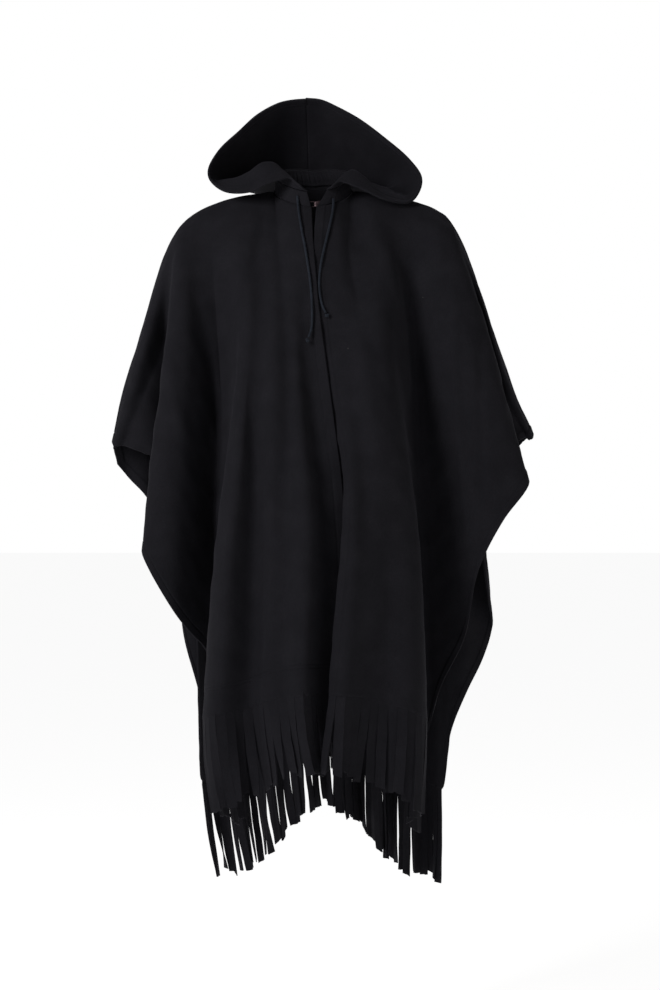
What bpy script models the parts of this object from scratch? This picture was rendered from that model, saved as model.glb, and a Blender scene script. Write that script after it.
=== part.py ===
"""A hooded cape of thick black wool, hollow, in the shape it takes on the shoulders.

Metres, +Z up, the front faces -Y, and "right" is the wearer's right, at -X.
The origin lies between the shoulders, level with the base of the neck.
"""
import math

import bmesh
import bpy
from mathutils import Vector

# Cloth and seams
CLOTH = 0.0020                # thickness of the wool cloth
SEAM = 0.0003                 # gap between pieces that are sewn together
EDGE_STEP = 0.034             # widest step between columns along a side edge
HEM_SAMPLES = 600             # steps that measure a hem
DOWN_STEPS = (0, .03, .07, .14, .25, .38, .52, .67, .84, 1)
SHARP = 50                    # degrees above which an edge is not shaded smooth

# Neckline
NECK_X = -0.008               # middle of the neckline
NECK_HALF = 0.062             # half width of the neckline
NECK_FRONT = 0.072            # depth of the neckline in front of the shoulder seam
NECK_BACK = 0.058             # and behind it
NECK_TILT = 0.027             # the nape lies higher and the front lower by this
NECK_LEVEL = 0.003            # middle height of the neckline
NECK_SIDE_RISE = 0.009        # it lies higher at the sides by this
NECK_EASE = 0.0020            # the panels stay outside the casing by this
NECK_RUN = (0.024, 0.036)     # the cloth runs out and down by this from the neckline
CASING = 0.024                # height of the drawcord casing
CASING_LEAN = 0.004           # the casing closes in by this towards its top
CASING_COLUMNS = 28
HOOD_EASE = 0.0007            # room for the turn from the casing into the hood
HOOD_STEPS = (0, .08, .2, .33, .47, .6, .72, .84, .93, 1)
HOOD_PITCH = (0.5, 0.010)     # each section counts for half its rim, and this more
CASING_ENDS = {               # degrees from the centre front, at the foot and top
    "right": (-2.5, -9.0),
    "left": (5.7, 23.0),
}

# Fringe
STRIP = 0.0155                # pitch of the cut strips
CUT = 0.0008                  # gap between two strips at their roots
ROOT = 0.008                  # height of the uncut edge above the strips
TAPER = (0.0012, 0.0024)      # the strips narrow by this half way down and at the tip
LEANS = {                     # the strips lean to the left by this part of their
    "front_right": (0.13, 0.17),      # length, at the first fold of the hem and the last
    "front_left": (-0.10, -0.03),
    "back": (0.19, -0.02),
}
FIRST_TURN = 0.65             # share of the turn to plumb in a strip's upper half
UNEVEN = ((0.03, 2.1), (0.02, 5.3))    # strip lengths differ by these waves
WANDER = (0.02, 3.7)          # and the strips lean in and out by this one

# Where each level of a fold lies between the top line and the lower edge
CREST = 0.07
MID = 0.36
LOW = 0.68
CREST_SHARE = 0.12            # the crest lies this far towards the middle place
CREST_DROP = 0.45             # and drops by this part of the shoulder's round
FIRST_SLOPE = 1.5             # the cloth leaves the top line level, this fast
NECK_FADE = 0.12              # the neckline's own shape fades out by this level

# The top of shoulders and arms: height, reach to each side, and how far the
# cloth comes forward or back before it falls
SHOULDER = (
    # height, right, left, round
    (0.012, 0.070, 0.054, 0.030),
    (0.003, 0.131, 0.131, 0.045),
    (-0.007, 0.164, 0.164, 0.050),
    (-0.017, 0.188, 0.190, 0.050),
    (-0.033, 0.211, 0.211, 0.048),
    (-0.057, 0.231, 0.227, 0.045),
    (-0.081, 0.244, 0.238, 0.042),
    (-0.130, 0.261, 0.254, 0.038),
    (-0.178, 0.274, 0.270, 0.035),
    (-0.227, 0.288, 0.287, 0.032),
    (-0.275, 0.305, 0.305, 0.028),
    (-0.324, 0.319, 0.322, 0.022),
    (-0.373, 0.329, 0.345, 0.014),
    (-0.400, 0.335, 0.353, 0.010),
)

# The two edges of the front opening. The right one lies over the left one above
# the twist, where they part, and behind it below.
OPENING = (
    # level, right x, right y, left x, left y
    (0.00, -0.010, -0.0735, -0.002, -0.0725),
    (0.07, -0.008, -0.104, -0.005, -0.099),
    (0.12, -0.005, -0.118, -0.005, -0.111),
    (0.22, 0.002, -0.133, -0.001, -0.125),
    (0.36, 0.016, -0.147, 0.013, -0.139),
    (0.48, 0.028, -0.158, 0.031, -0.153),
    (0.56, 0.036, -0.156, 0.041, -0.170),
    (0.68, 0.043, -0.152, 0.039, -0.186),
    (0.84, 0.047, -0.148, 0.028, -0.191),
    (1.00, 0.046, -0.145, 0.019, -0.190),
)

# Folds of each panel, from the middle to the elbow. A fold starts on the top
# line and ends on the hem or, past the hem corner, on the free side edge.
FRONT_RIGHT = (
    # fold, top x, mid x, mid y, low x, low y, end x, end y, end z
    ("opening edge", -0.010, 0.016, -0.147, 0.043, -0.152, 0.046, -0.145, -0.775),
    ("edge flat", -0.024, -0.008, -0.144, 0.016, -0.162, 0.013, -0.152, -0.778),
    ("inner ridge", -0.048, -0.032, -0.158, -0.019, -0.193, -0.024, -0.200, -0.775),
    ("inner valley", -0.059, -0.047, -0.154, -0.045, -0.170, -0.049, -0.180, -0.779),
    ("broad ridge", -0.073, -0.065, -0.158, -0.072, -0.168, -0.074, -0.172, -0.785),
    ("soft valley", -0.091, -0.090, -0.147, -0.100, -0.150, -0.102, -0.138, -0.801),
    ("side crest", -0.110, -0.110, -0.152, -0.136, -0.171, -0.156, -0.162, -0.810),
    ("side contour", -0.122, -0.124, -0.140, -0.156, -0.144, -0.177, -0.128, -0.817),
    ("side turn", -0.137, -0.129, -0.118, -0.158, -0.103, -0.174, -0.090, -0.829),
    ("side return", -0.152, -0.137, -0.090, -0.152, -0.070, -0.153, -0.060, -0.845),
    ("hem corner", -0.166, -0.147, -0.070, -0.158, -0.042, -0.141, -0.030, -0.858),
    ("side edge low", -0.180, -0.166, -0.070, -0.178, -0.047, -0.178, -0.038, -0.726),
    ("side edge middle", -0.194, -0.188, -0.090, -0.194, -0.076, -0.206, -0.066, -0.691),
    ("side edge high", -0.206, -0.208, -0.107, -0.218, -0.104, -0.231, -0.092, -0.653),
    ("arm ridge", -0.217, -0.237, -0.098, -0.258, -0.102, -0.276, -0.090, -0.570),
    ("arm turn", -0.227, -0.238, -0.056, -0.256, -0.056, -0.272, -0.050, -0.552),
    ("arm valley", -0.256, -0.246, -0.022, -0.243, -0.012, -0.240, -0.010, -0.451),
    ("over arm", -0.305, -0.281, -0.034, -0.270, -0.031, -0.260, -0.028, -0.419),
    ("tip", -0.333, -0.312, -0.018, -0.294, -0.027, -0.276, -0.030, -0.411),
)
FRONT_LEFT = (
    # fold, top x, mid x, mid y, low x, low y, end x, end y, end z
    ("opening edge", -0.002, 0.013, -0.139, 0.039, -0.186, 0.019, -0.190, -0.775),
    ("centre ridge", 0.023, 0.038, -0.150, 0.056, -0.200, 0.039, -0.206, -0.774),
    ("centre slope", 0.040, 0.061, -0.158, 0.079, -0.186, 0.070, -0.184, -0.779),
    ("broad slope", 0.054, 0.077, -0.162, 0.104, -0.173, 0.105, -0.165, -0.790),
    ("side crest", 0.090, 0.100, -0.160, 0.136, -0.160, 0.145, -0.168, -0.802),
    ("side contour", 0.104, 0.115, -0.147, 0.153, -0.143, 0.167, -0.140, -0.816),
    ("side turn", 0.116, 0.126, -0.120, 0.157, -0.110, 0.167, -0.100, -0.830),
    ("side return", 0.128, 0.136, -0.090, 0.154, -0.075, 0.149, -0.066, -0.846),
    ("hem corner", 0.141, 0.149, -0.068, 0.162, -0.047, 0.170, -0.034, -0.864),
    ("side edge low", 0.154, 0.164, -0.066, 0.184, -0.048, 0.196, -0.040, -0.786),
    ("side edge middle", 0.166, 0.184, -0.088, 0.212, -0.072, 0.232, -0.060, -0.708),
    ("side edge high", 0.177, 0.207, -0.106, 0.243, -0.099, 0.256, -0.080, -0.590),
    ("arm flat", 0.185, 0.229, -0.106, 0.270, -0.106, 0.292, -0.092, -0.517),
    ("arm ridge", 0.194, 0.253, -0.086, 0.294, -0.088, 0.332, -0.082, -0.461),
    ("arm turn", 0.207, 0.257, -0.056, 0.295, -0.056, 0.326, -0.050, -0.441),
    ("arm valley", 0.246, 0.268, -0.044, 0.285, -0.034, 0.296, -0.026, -0.396),
    ("over arm", 0.314, 0.305, -0.038, 0.305, -0.035, 0.305, -0.028, -0.393),
    ("tip", 0.347, 0.335, -0.018, 0.326, -0.026, 0.318, -0.029, -0.393),
)
BACK = (
    # fold, top x, mid x, mid y, low x, low y, end x, end y, end z
    ("right tip", -0.333, -0.331, 0.014, -0.329, 0.020, -0.327, 0.022, -0.428),
    ("right over arm", -0.305, -0.315, 0.026, -0.314, 0.030, -0.310, 0.036, -0.449),
    ("right arm valley", -0.262, -0.272, 0.034, -0.276, 0.036, -0.278, 0.040, -0.486),
    ("right arm turn", -0.238, -0.262, 0.055, -0.268, 0.060, -0.266, 0.062, -0.520),
    ("right arm ridge", -0.226, -0.252, 0.078, -0.262, 0.092, -0.260, 0.092, -0.548),
    ("right side high", -0.212, -0.238, 0.088, -0.241, 0.108, -0.236, 0.110, -0.620),
    ("right side middle", -0.198, -0.222, 0.084, -0.224, 0.090, -0.221, 0.095, -0.725),
    ("right side low", -0.184, -0.205, 0.086, -0.204, 0.088, -0.197, 0.096, -0.820),
    ("right hem corner", -0.173, -0.195, 0.092, -0.199, 0.105, -0.195, 0.114, -0.957),
    ("right turn", -0.161, -0.185, 0.102, -0.190, 0.130, -0.189, 0.138, -0.958),
    ("right outer ridge", -0.148, -0.171, 0.112, -0.175, 0.148, -0.171, 0.158, -0.957),
    ("right outer valley", -0.126, -0.146, 0.106, -0.149, 0.122, -0.144, 0.122, -0.952),
    ("right middle ridge", -0.098, -0.117, 0.124, -0.120, 0.160, -0.116, 0.178, -0.943),
    ("right inner valley", -0.070, -0.087, 0.116, -0.091, 0.134, -0.088, 0.130, -0.920),
    ("right inner ridge", -0.050, -0.060, 0.128, -0.062, 0.156, -0.062, 0.168, -0.893),
    ("right centre valley", -0.030, -0.036, 0.120, -0.036, 0.136, -0.034, 0.130, -0.870),
    ("centre ridge", -0.008, -0.004, 0.130, -0.003, 0.172, -0.002, 0.192, -0.862),
    ("left centre valley", 0.014, 0.026, 0.118, 0.032, 0.132, 0.034, 0.124, -0.868),
    ("left inner ridge", 0.034, 0.056, 0.130, 0.066, 0.164, 0.070, 0.178, -0.893),
    ("left inner valley", 0.054, 0.086, 0.112, 0.096, 0.122, 0.100, 0.116, -0.922),
    ("left middle ridge", 0.090, 0.116, 0.120, 0.122, 0.156, 0.122, 0.172, -0.940),
    ("left outer valley", 0.124, 0.147, 0.106, 0.151, 0.120, 0.149, 0.118, -0.950),
    ("left outer ridge", 0.146, 0.172, 0.110, 0.178, 0.144, 0.178, 0.156, -0.958),
    ("left turn", 0.158, 0.187, 0.100, 0.196, 0.126, 0.198, 0.136, -0.962),
    ("left hem corner", 0.170, 0.197, 0.090, 0.208, 0.104, 0.206, 0.112, -0.963),
    ("left side low", 0.182, 0.208, 0.084, 0.224, 0.090, 0.222, 0.092, -0.868),
    ("left side middle", 0.196, 0.224, 0.082, 0.243, 0.084, 0.250, 0.086, -0.797),
    ("left side high", 0.210, 0.242, 0.086, 0.258, 0.098, 0.276, 0.098, -0.745),
    ("left arm ridge", 0.224, 0.256, 0.080, 0.270, 0.096, 0.290, 0.100, -0.700),
    ("left arm turn", 0.238, 0.262, 0.056, 0.270, 0.062, 0.282, 0.064, -0.650),
    ("left arm valley", 0.264, 0.276, 0.036, 0.274, 0.040, 0.270, 0.044, -0.545),
    ("left over arm", 0.314, 0.316, 0.026, 0.310, 0.030, 0.304, 0.036, -0.440),
    ("left tip", 0.347, 0.340, 0.013, 0.334, 0.018, 0.328, 0.021, -0.396),
)

# The hood: its rim from the front corner over the top, where each place meets
# the neck, and how far the cloth between them goes out sideways, reaches back,
# arches up and sags
HOOD_RIGHT = (
    # place, rim x, rim y, rim z, neck degrees, out, back, lift, sag
    ("corner", -0.026, -0.0745, 0.0095, -9.0, 0.000, 0.000, 0.000, 0.000),
    ("rise", -0.036, -0.0705, 0.0185, -20.0, 0.000, 0.001, 0.002, 0.000),
    ("turn", -0.044, -0.0670, 0.0245, -33.0, 0.002, 0.002, 0.008, 0.000),
    ("roll", -0.058, -0.0710, 0.0215, -44.0, 0.012, 0.011, 0.030, 0.000),
    ("dip", -0.078, -0.0740, 0.0150, -55.0, 0.018, 0.012, 0.034, 0.000),
    ("low", -0.105, -0.0700, 0.0025, -67.0, 0.022, 0.012, 0.027, 0.000),
    ("side low", -0.146, -0.0540, 0.0045, -80.0, 0.028, 0.020, 0.016, 0.000),
    ("side edge", -0.171, -0.0350, 0.0240, -91.0, 0.024, 0.036, 0.010, 0.006),
    ("side", -0.177, -0.0120, 0.0470, -102.0, 0.016, 0.058, 0.010, 0.022),
    ("upper", -0.160, 0.0120, 0.0840, -117.0, 0.006, 0.085, 0.008, 0.044),
    ("upper side", -0.130, 0.0240, 0.1150, -130.0, 0.000, 0.097, 0.006, 0.066),
    ("shoulder", -0.098, 0.0350, 0.1460, -146.0, 0.000, 0.108, 0.003, 0.090),
    ("top side", -0.063, 0.0430, 0.1660, -162.0, 0.000, 0.115, 0.000, 0.112),
    ("crown", -0.042, 0.0460, 0.1710, -171.0, 0.000, 0.117, 0.000, 0.121),
    ("top", -0.020, 0.0470, 0.1730, -180.0, 0.000, 0.118, 0.000, 0.125),
)
HOOD_LEFT = (
    # place, rim x, rim y, rim z, neck degrees, out, back, lift, sag
    ("corner", 0.022, -0.0745, 0.0095, 23.0, 0.000, 0.000, 0.000, 0.000),
    ("rise", 0.030, -0.0695, 0.0170, 31.0, 0.000, 0.001, 0.002, 0.000),
    ("turn", 0.037, -0.0665, 0.0195, 39.0, 0.003, 0.003, 0.010, 0.000),
    ("roll", 0.049, -0.0705, 0.0155, 48.0, 0.010, 0.010, 0.024, 0.000),
    ("dip", 0.074, -0.0730, 0.0055, 59.0, 0.014, 0.012, 0.020, 0.000),
    ("low", 0.106, -0.0680, -0.0085, 70.0, 0.016, 0.018, 0.010, 0.000),
    ("side low", 0.144, -0.0500, -0.0110, 82.0, 0.020, 0.032, 0.004, 0.002),
    ("side edge", 0.161, -0.0300, 0.0085, 93.0, 0.016, 0.046, 0.005, 0.010),
    ("side", 0.166, -0.0120, 0.0340, 102.0, 0.012, 0.055, 0.010, 0.020),
    ("upper", 0.147, 0.0100, 0.0670, 116.0, 0.006, 0.085, 0.010, 0.040),
    ("upper side", 0.107, 0.0220, 0.1040, 130.0, 0.000, 0.097, 0.006, 0.062),
    ("shoulder", 0.067, 0.0330, 0.1360, 146.0, 0.000, 0.108, 0.003, 0.088),
    ("top side", 0.032, 0.0410, 0.1570, 161.0, 0.000, 0.115, 0.000, 0.108),
    ("crown", 0.004, 0.0450, 0.1700, 171.0, 0.000, 0.117, 0.000, 0.120),
    ("top", -0.020, 0.0470, 0.1730, 180.0, 0.000, 0.118, 0.000, 0.125),
)

# Strip lengths: across from the middle, front and back
STRIP_LENGTHS = (
    # across, front, back
    (0.00, 0.122, 0.138),
    (0.08, 0.128, 0.146),
    (0.16, 0.146, 0.156),
    (0.24, 0.150, 0.158),
)

# Drawcord
CORD_RADIUS = 0.0020
CORD_STEP = 0.010             # between the places along a cord
KNOT_RADIUS = 0.0040
KNOT_LONG = 1.15              # a knot is longer than wide by this
KNOT_SIDES = 10
KNOT_RINGS = 6

CORD_RIGHT = (
    # x, y, z from the eyelet in the casing down to the knot
    (-0.0322, -0.0668, -0.0035),
    (-0.0317, -0.0703, -0.0131),
    (-0.0304, -0.0801, -0.0273),
    (-0.0285, -0.0898, -0.0413),
    (-0.0262, -0.0983, -0.0551),
    (-0.0239, -0.1040, -0.0685),
    (-0.0213, -0.1092, -0.0817),
    (-0.0184, -0.1154, -0.0982),
    (-0.0159, -0.1205, -0.1144),
    (-0.0135, -0.1240, -0.1304),
    (-0.0114, -0.1275, -0.1464),
    (-0.0098, -0.1305, -0.1623),
    (-0.0089, -0.1334, -0.1781),
    (-0.0084, -0.1363, -0.1939),
    (-0.0085, -0.1389, -0.2096),
    (-0.0101, -0.1414, -0.2237),
    (-0.0136, -0.1438, -0.2340),
)
CORD_LEFT = (
    # x, y, z from the eyelet in the casing down to the knot
    (0.0250, -0.0632, -0.0077),
    (0.0246, -0.0700, -0.0179),
    (0.0235, -0.0786, -0.0302),
    (0.0210, -0.0881, -0.0442),
    (0.0181, -0.0961, -0.0579),
    (0.0150, -0.1018, -0.0712),
    (0.0116, -0.1068, -0.0861),
    (0.0084, -0.1119, -0.1008),
    (0.0055, -0.1162, -0.1154),
    (0.0036, -0.1195, -0.1298),
    (0.0026, -0.1228, -0.1442),
    (0.0029, -0.1258, -0.1585),
    (0.0048, -0.1282, -0.1728),
    (0.0082, -0.1304, -0.1855),
    (0.0128, -0.1332, -0.1950),
)

# Hook and eye, sewn to the inner side of the casing's ends
EYE = {"x": -0.0110, "y": -0.0668, "z": -0.0168, "half_width": 0.0075, "half_height": 0.0040}
EYE_WIRE = 0.0006             # radius of the eye's wire
EYE_STEPS = 5                 # places on each quarter of its round ends
HOOK_PLATE = 0.0008           # thickness of the hook
HOOK_LINE = (
    # x, y, half height along the plate, from its sewn end round the eye's bar
    (0.0090, -0.0650, 0.0056),
    (0.0055, -0.0660, 0.0056),
    (0.0020, -0.0672, 0.0053),
    (-0.0008, -0.0681, 0.0048),
    (-0.0030, -0.0685, 0.0042),
    (-0.0049, -0.0681, 0.0032),
    (-0.0057, -0.0669, 0.0021),
    (-0.0050, -0.0657, 0.0021),
    (-0.0034, -0.0654, 0.0021),
)

WOOL = ("black wool", (0.012, 0.012, 0.015, 1), 0.95, 0.0)
CORD = ("navy cord", (0.020, 0.024, 0.035, 1), 0.85, 0.0)
METAL = ("brown metal", (0.300, 0.200, 0.200, 1), 0.40, 0.9)


def clear_scene():
    for thing in list(bpy.data.objects):
        bpy.data.objects.remove(thing)


def material(spec):
    name, colour, roughness, metallic = spec
    made = bpy.data.materials.get(name) or bpy.data.materials.new(name)
    made.use_nodes = True
    shader = made.node_tree.nodes["Principled BSDF"]
    shader.inputs["Base Color"].default_value = colour
    shader.inputs["Roughness"].default_value = roughness
    shader.inputs["Metallic"].default_value = metallic
    return made


def spline(knots, values, t, start=None):
    """Smooth curve through values, numbers or vectors; start is its first slope."""
    last = len(knots) - 1
    i = 0
    while i < last - 1 and t > knots[i + 1]:
        i += 1

    def slope(k):
        if k == 0:
            return start if start is not None else (values[1] - values[0]) / (knots[1] - knots[0])
        if k == last:
            return (values[last] - values[last - 1]) / (knots[last] - knots[last - 1])
        before = knots[k] - knots[k - 1]
        after = knots[k + 1] - knots[k]
        rise = (values[k] - values[k - 1]) / before * after
        return (rise + (values[k + 1] - values[k]) / after * before) / (before + after)

    width = knots[i + 1] - knots[i]
    s = (t - knots[i]) / width
    a = values[i] * (2 * s ** 3 - 3 * s ** 2 + 1) + values[i + 1] * (3 * s ** 2 - 2 * s ** 3)
    b = slope(i) * (s ** 3 - 2 * s ** 2 + s) + slope(i + 1) * (s ** 3 - s ** 2)
    return a + b * width


def neck_point(degrees, rise=0.0, shrink=0.0):
    """A place on the neckline, or above it; 0 is the centre front, 180 the nape."""
    angle = math.radians(degrees)
    depth = NECK_FRONT if math.cos(angle) > 0 else NECK_BACK
    level = NECK_LEVEL - NECK_TILT * math.cos(angle) + NECK_SIDE_RISE * abs(math.sin(angle))
    return Vector((
        NECK_X + (NECK_HALF - shrink) * math.sin(angle),
        -(depth - shrink) * math.cos(angle),
        level + rise,
    ))


def shoulder_row(across):
    """Height and roundness of the shoulder line at a place across."""
    column = 2 if across > 0 else 1
    reach = [row[column] for row in SHOULDER]
    far = min(max(abs(across), reach[0]), reach[-1])
    height = spline(reach, [row[0] for row in SHOULDER], far)
    round_over = spline(reach, [row[3] for row in SHOULDER], far)
    return height, round_over


def top_point(across, facing):
    """A place on the panels' top line; facing is -1 in front and 1 behind."""
    offset = (across - NECK_X) / NECK_HALF
    if abs(offset) < 1:
        angle = math.degrees(math.asin(offset))
        return neck_point(angle if facing < 0 else 180 - angle, shrink=-NECK_EASE)
    return Vector((across, facing * SEAM / 2, shoulder_row(across)[0]))


def fold_curve(row, facing):
    """Levels, places and first slope of one fold, down from the top line."""
    name, top_x, mid_x, mid_y, low_x, low_y, end_x, end_y, end_z = row
    top = top_point(top_x, facing)
    drop = end_z - top.z
    crest = top.lerp(Vector((mid_x, mid_y, top.z + drop * MID)), CREST_SHARE)
    if abs(top_x - NECK_X) < NECK_HALF:
        crest.y = top.y + facing * NECK_RUN[0]
        crest.z = top.z - NECK_RUN[1]
        start = None
    else:
        round_over = shoulder_row(top_x)[1]
        crest.y = facing * round_over
        crest.z = top.z - CREST_DROP * round_over
        start = Vector((0, facing * round_over * FIRST_SLOPE / CREST, 0))
    places = [
        top,
        crest,
        Vector((mid_x, mid_y, top.z + drop * MID)),
        Vector((low_x, low_y, top.z + drop * LOW)),
        Vector((end_x, end_y, end_z)),
    ]
    return (0, CREST, MID, LOW, 1), places, start


def opening_curve(side, drop_to):
    """Levels and places of one edge of the front opening; side is -1 or 1."""
    column = 1 if side < 0 else 3
    top = top_point(OPENING[0][column], -1)
    places = [top]
    for row in OPENING[1:]:
        places.append(Vector((row[column], row[column + 1], top.z + (drop_to - top.z) * row[0])))
    return tuple(row[0] for row in OPENING), places, None


class Panel:
    """Smooth surface through a table of folds: u runs across it, v down it."""

    def __init__(self, rows, facing):
        self.names = [row[0] for row in rows]
        self.facing = facing
        self.folds = [fold_curve(row, facing) for row in rows]
        self.knots = [0.0]
        for one, two in zip(self.folds, self.folds[1:]):
            run = sum((one[1][k] - two[1][k]).length for k in (2, 3, 4)) / 3
            self.knots.append(self.knots[-1] + run)
        if self.names[0] == "opening edge":
            side = -1 if rows[-1][1] < 0 else 1
            self.folds[0] = opening_curve(side, rows[0][-1])
        self.cache = {}

    def at(self, u, v):
        if v not in self.cache:
            self.cache[v] = [spline(k, places, v, start) for k, places, start in self.folds]
            self.cache[0] = [places[0] for k, places, start in self.folds]
        place = spline(self.knots, self.cache[v], u)
        fade = max(0.0, 1 - v / NECK_FADE) ** 2
        if fade > 0:
            top = spline(self.knots, self.cache[0], u)
            place += (top_point(top.x, self.facing) - top) * fade
        return place

    def knot(self, name):
        return self.knots[self.names.index(name)]

    def hem_cuts(self, start, end):
        """Places across, one strip apart along the lower edge between two folds."""
        first, last = self.knot(start), self.knot(end)
        samples = [first + (last - first) * k / HEM_SAMPLES for k in range(HEM_SAMPLES + 1)]
        runs = [0.0]
        for one, two in zip(samples, samples[1:]):
            runs.append(runs[-1] + (self.at(one, 1) - self.at(two, 1)).length)
        count = round(runs[-1] / STRIP)
        cuts, k = [], 0
        for cut in range(count + 1):
            while k < HEM_SAMPLES - 1 and runs[k + 1] < runs[-1] * cut / count:
                k += 1
            share = (runs[-1] * cut / count - runs[k]) / (runs[k + 1] - runs[k])
            cuts.append(samples[k] + (samples[k + 1] - samples[k]) * share)
        return cuts

    def edge_columns(self, start, end):
        """Places across on a stretch of side edge, with each fold among them."""
        first, last = self.names.index(start), self.names.index(end)
        found = []
        for one, two in zip(self.knots[first:last], self.knots[first + 1:last + 1]):
            count = math.ceil((two - one) / EDGE_STEP)
            found += [one + (two - one) * k / count for k in range(count)]
        return found + [self.knots[last]]

    def lay_grid(self, hem_start, hem_end):
        """Places, normals and the columns of the hem for the panel's wall."""
        cuts = self.hem_cuts(hem_start, hem_end)
        before = self.edge_columns(self.names[0], hem_start)[:-1]
        after = self.edge_columns(hem_end, self.names[-1])[1:]
        columns = before + cuts + after
        grid = [[self.at(u, v) for u in columns] for v in DOWN_STEPS]
        normals = grid_normals(grid)
        for j, place in enumerate(grid[0]):
            if abs(place.x - NECK_X) >= NECK_HALF:
                normals[0][j].y = 0
                normals[0][j].normalize()
        return grid, normals, (len(before), len(before) + len(cuts))


def grid_normals(grid):
    """Unit normals of a grid of places, from its neighbours on each side."""
    rows, columns = len(grid), len(grid[0])
    found = []
    for i in range(rows):
        line = []
        for j in range(columns):
            down = grid[min(i + 1, rows - 1)][j] - grid[max(i - 1, 0)][j]
            across = grid[i][min(j + 1, columns - 1)] - grid[i][max(j - 1, 0)]
            line.append(across.cross(down).normalized())
        found.append(line)
    return found


def add_object(name, mesh, spec, root):
    thing = bpy.data.objects.new(name, mesh)
    bpy.context.scene.collection.objects.link(thing)
    thing.parent = root
    mesh.materials.append(material(spec))


def finish_mesh(name, body):
    mesh = bpy.data.meshes.new(name)
    body.to_mesh(mesh)
    body.free()
    mesh.shade_smooth()
    mesh.set_sharp_from_angle(angle=math.radians(SHARP))
    return mesh


def closed_wall(name, grid, normals, thickness, spec, root):
    """A closed wall of even thickness around a grid of places."""
    body = bmesh.new()
    rows = len(grid)
    columns = len(grid[0])

    def skin(side):
        return [[body.verts.new(grid[i][j] + normals[i][j] * side * thickness / 2)
                 for j in range(columns)] for i in range(rows)]

    outer, inner = skin(1), skin(-1)
    for i in range(rows - 1):
        for j in range(columns - 1):
            for sheet in (outer, inner):
                a, b = sheet[i][j], sheet[i][j + 1]
                c, d = sheet[i + 1][j + 1], sheet[i + 1][j]
                body.faces.new((a, b, c))
                body.faces.new((a, c, d))
    border = [(0, j) for j in range(columns)]
    border += [(i, columns - 1) for i in range(1, rows)]
    border += [(rows - 1, j) for j in range(columns - 2, -1, -1)]
    border += [(i, 0) for i in range(rows - 2, 0, -1)]
    for (i, j), (k, m) in zip(border, border[1:] + border[:1]):
        body.faces.new((outer[i][j], outer[k][m], inner[k][m], inner[i][j]))
    bmesh.ops.recalc_face_normals(body, faces=body.faces)
    add_object(name, finish_mesh(name, body), spec, root)


def make_panel(name, panel, hem_start, hem_end, root):
    """A panel and the fringe below its hem."""
    grid, normals, hem = panel.lay_grid(hem_start, hem_end)
    closed_wall(name, grid, normals, CLOTH, WOOL, root)
    frames = []
    for j in range(*hem):
        down = (grid[-1][j] - grid[-2][j]).normalized()
        frames.append((grid[-1][j], down, normals[-1][j]))
    make_fringe("fringe_" + name, frames, LEANS[name], root)


def between(one, two, share):
    """Place, downward direction and normal between two frames of a hem."""
    return [a.lerp(b, share) for a, b in zip(one, two)]


def strip_length(place):
    across = [row[0] for row in STRIP_LENGTHS]
    column = 1 if place.y < 0 else 2
    lengths = [row[column] for row in STRIP_LENGTHS]
    return spline(across, lengths, min(abs(place.x), across[-1]))


def make_fringe(name, frames, leans, root):
    """Cut strips below a hem, fused to the narrow uncut edge above them."""
    body = bmesh.new()

    def pair(place, normal):
        return [body.verts.new(place + normal * side * CLOTH / 2) for side in (1, -1)]

    columns = []
    for one, two in zip(frames, frames[1:]):
        share = CUT / 2 / (two[0] - one[0]).length
        for place, down, normal in (between(one, two, share), between(one, two, 1 - share)):
            top = pair(place + down * SEAM, normal)
            foot = pair(place + down * (SEAM + ROOT), normal)
            columns.append((top, foot))
    for (top_a, foot_a), (top_b, foot_b) in zip(columns, columns[1:]):
        body.faces.new((top_a[0], top_b[0], foot_b[0], foot_a[0]))
        body.faces.new((top_b[1], top_a[1], foot_a[1], foot_b[1]))
        body.faces.new((top_a[1], top_b[1], top_b[0], top_a[0]))
    for top, foot in (columns[0], columns[-1]):
        body.faces.new((top[0], top[1], foot[1], foot[0]))
    for (top_a, foot_a), (top_b, foot_b) in zip(columns[1:-1:2], columns[2::2]):
        body.faces.new((foot_a[0], foot_b[0], foot_b[1], foot_a[1]))
    for k, (one, two) in enumerate(zip(frames, frames[1:])):
        lean = leans[0] + (leans[1] - leans[0]) * k / (len(frames) - 2)
        add_strip(body, k, one, two, columns[2 * k][1], columns[2 * k + 1][1], lean)
    bmesh.ops.recalc_face_normals(body, faces=body.faces)
    add_object(name, finish_mesh(name, body), WOOL, root)


def add_strip(body, k, one, two, left, right, lean):
    """One hanging strip below the hem between two frames."""
    place, down, normal = between(one, two, 0.5)
    chord = two[0] - one[0]
    across = chord.normalized()
    length = strip_length(place) * (1 + sum(size * math.sin(rate * k) for size, rate in UNEVEN))
    plumb = Vector((lean, WANDER[0] * math.sin(WANDER[1] * k), -1)).normalized()
    start = place + down * (SEAM + ROOT)
    middle = start + down.lerp(plumb, FIRST_TURN) * length / 2
    tip = middle + plumb * length / 2
    rings = [(left[0], right[0], right[1], left[1])]
    for centre, narrow in ((middle, TAPER[0]), (tip, TAPER[1])):
        half = across * (chord.length - CUT - narrow) / 2
        thick = across.cross(plumb).normalized() * CLOTH / 2
        corners = (centre - half + thick, centre + half + thick,
                   centre + half - thick, centre - half - thick)
        rings.append([body.verts.new(corner) for corner in corners])
    for upper, lower in zip(rings, rings[1:]):
        for a, b in ((0, 1), (1, 2), (2, 3), (3, 0)):
            body.faces.new((upper[a], upper[b], lower[b], lower[a]))
    body.faces.new(rings[-1])


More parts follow.
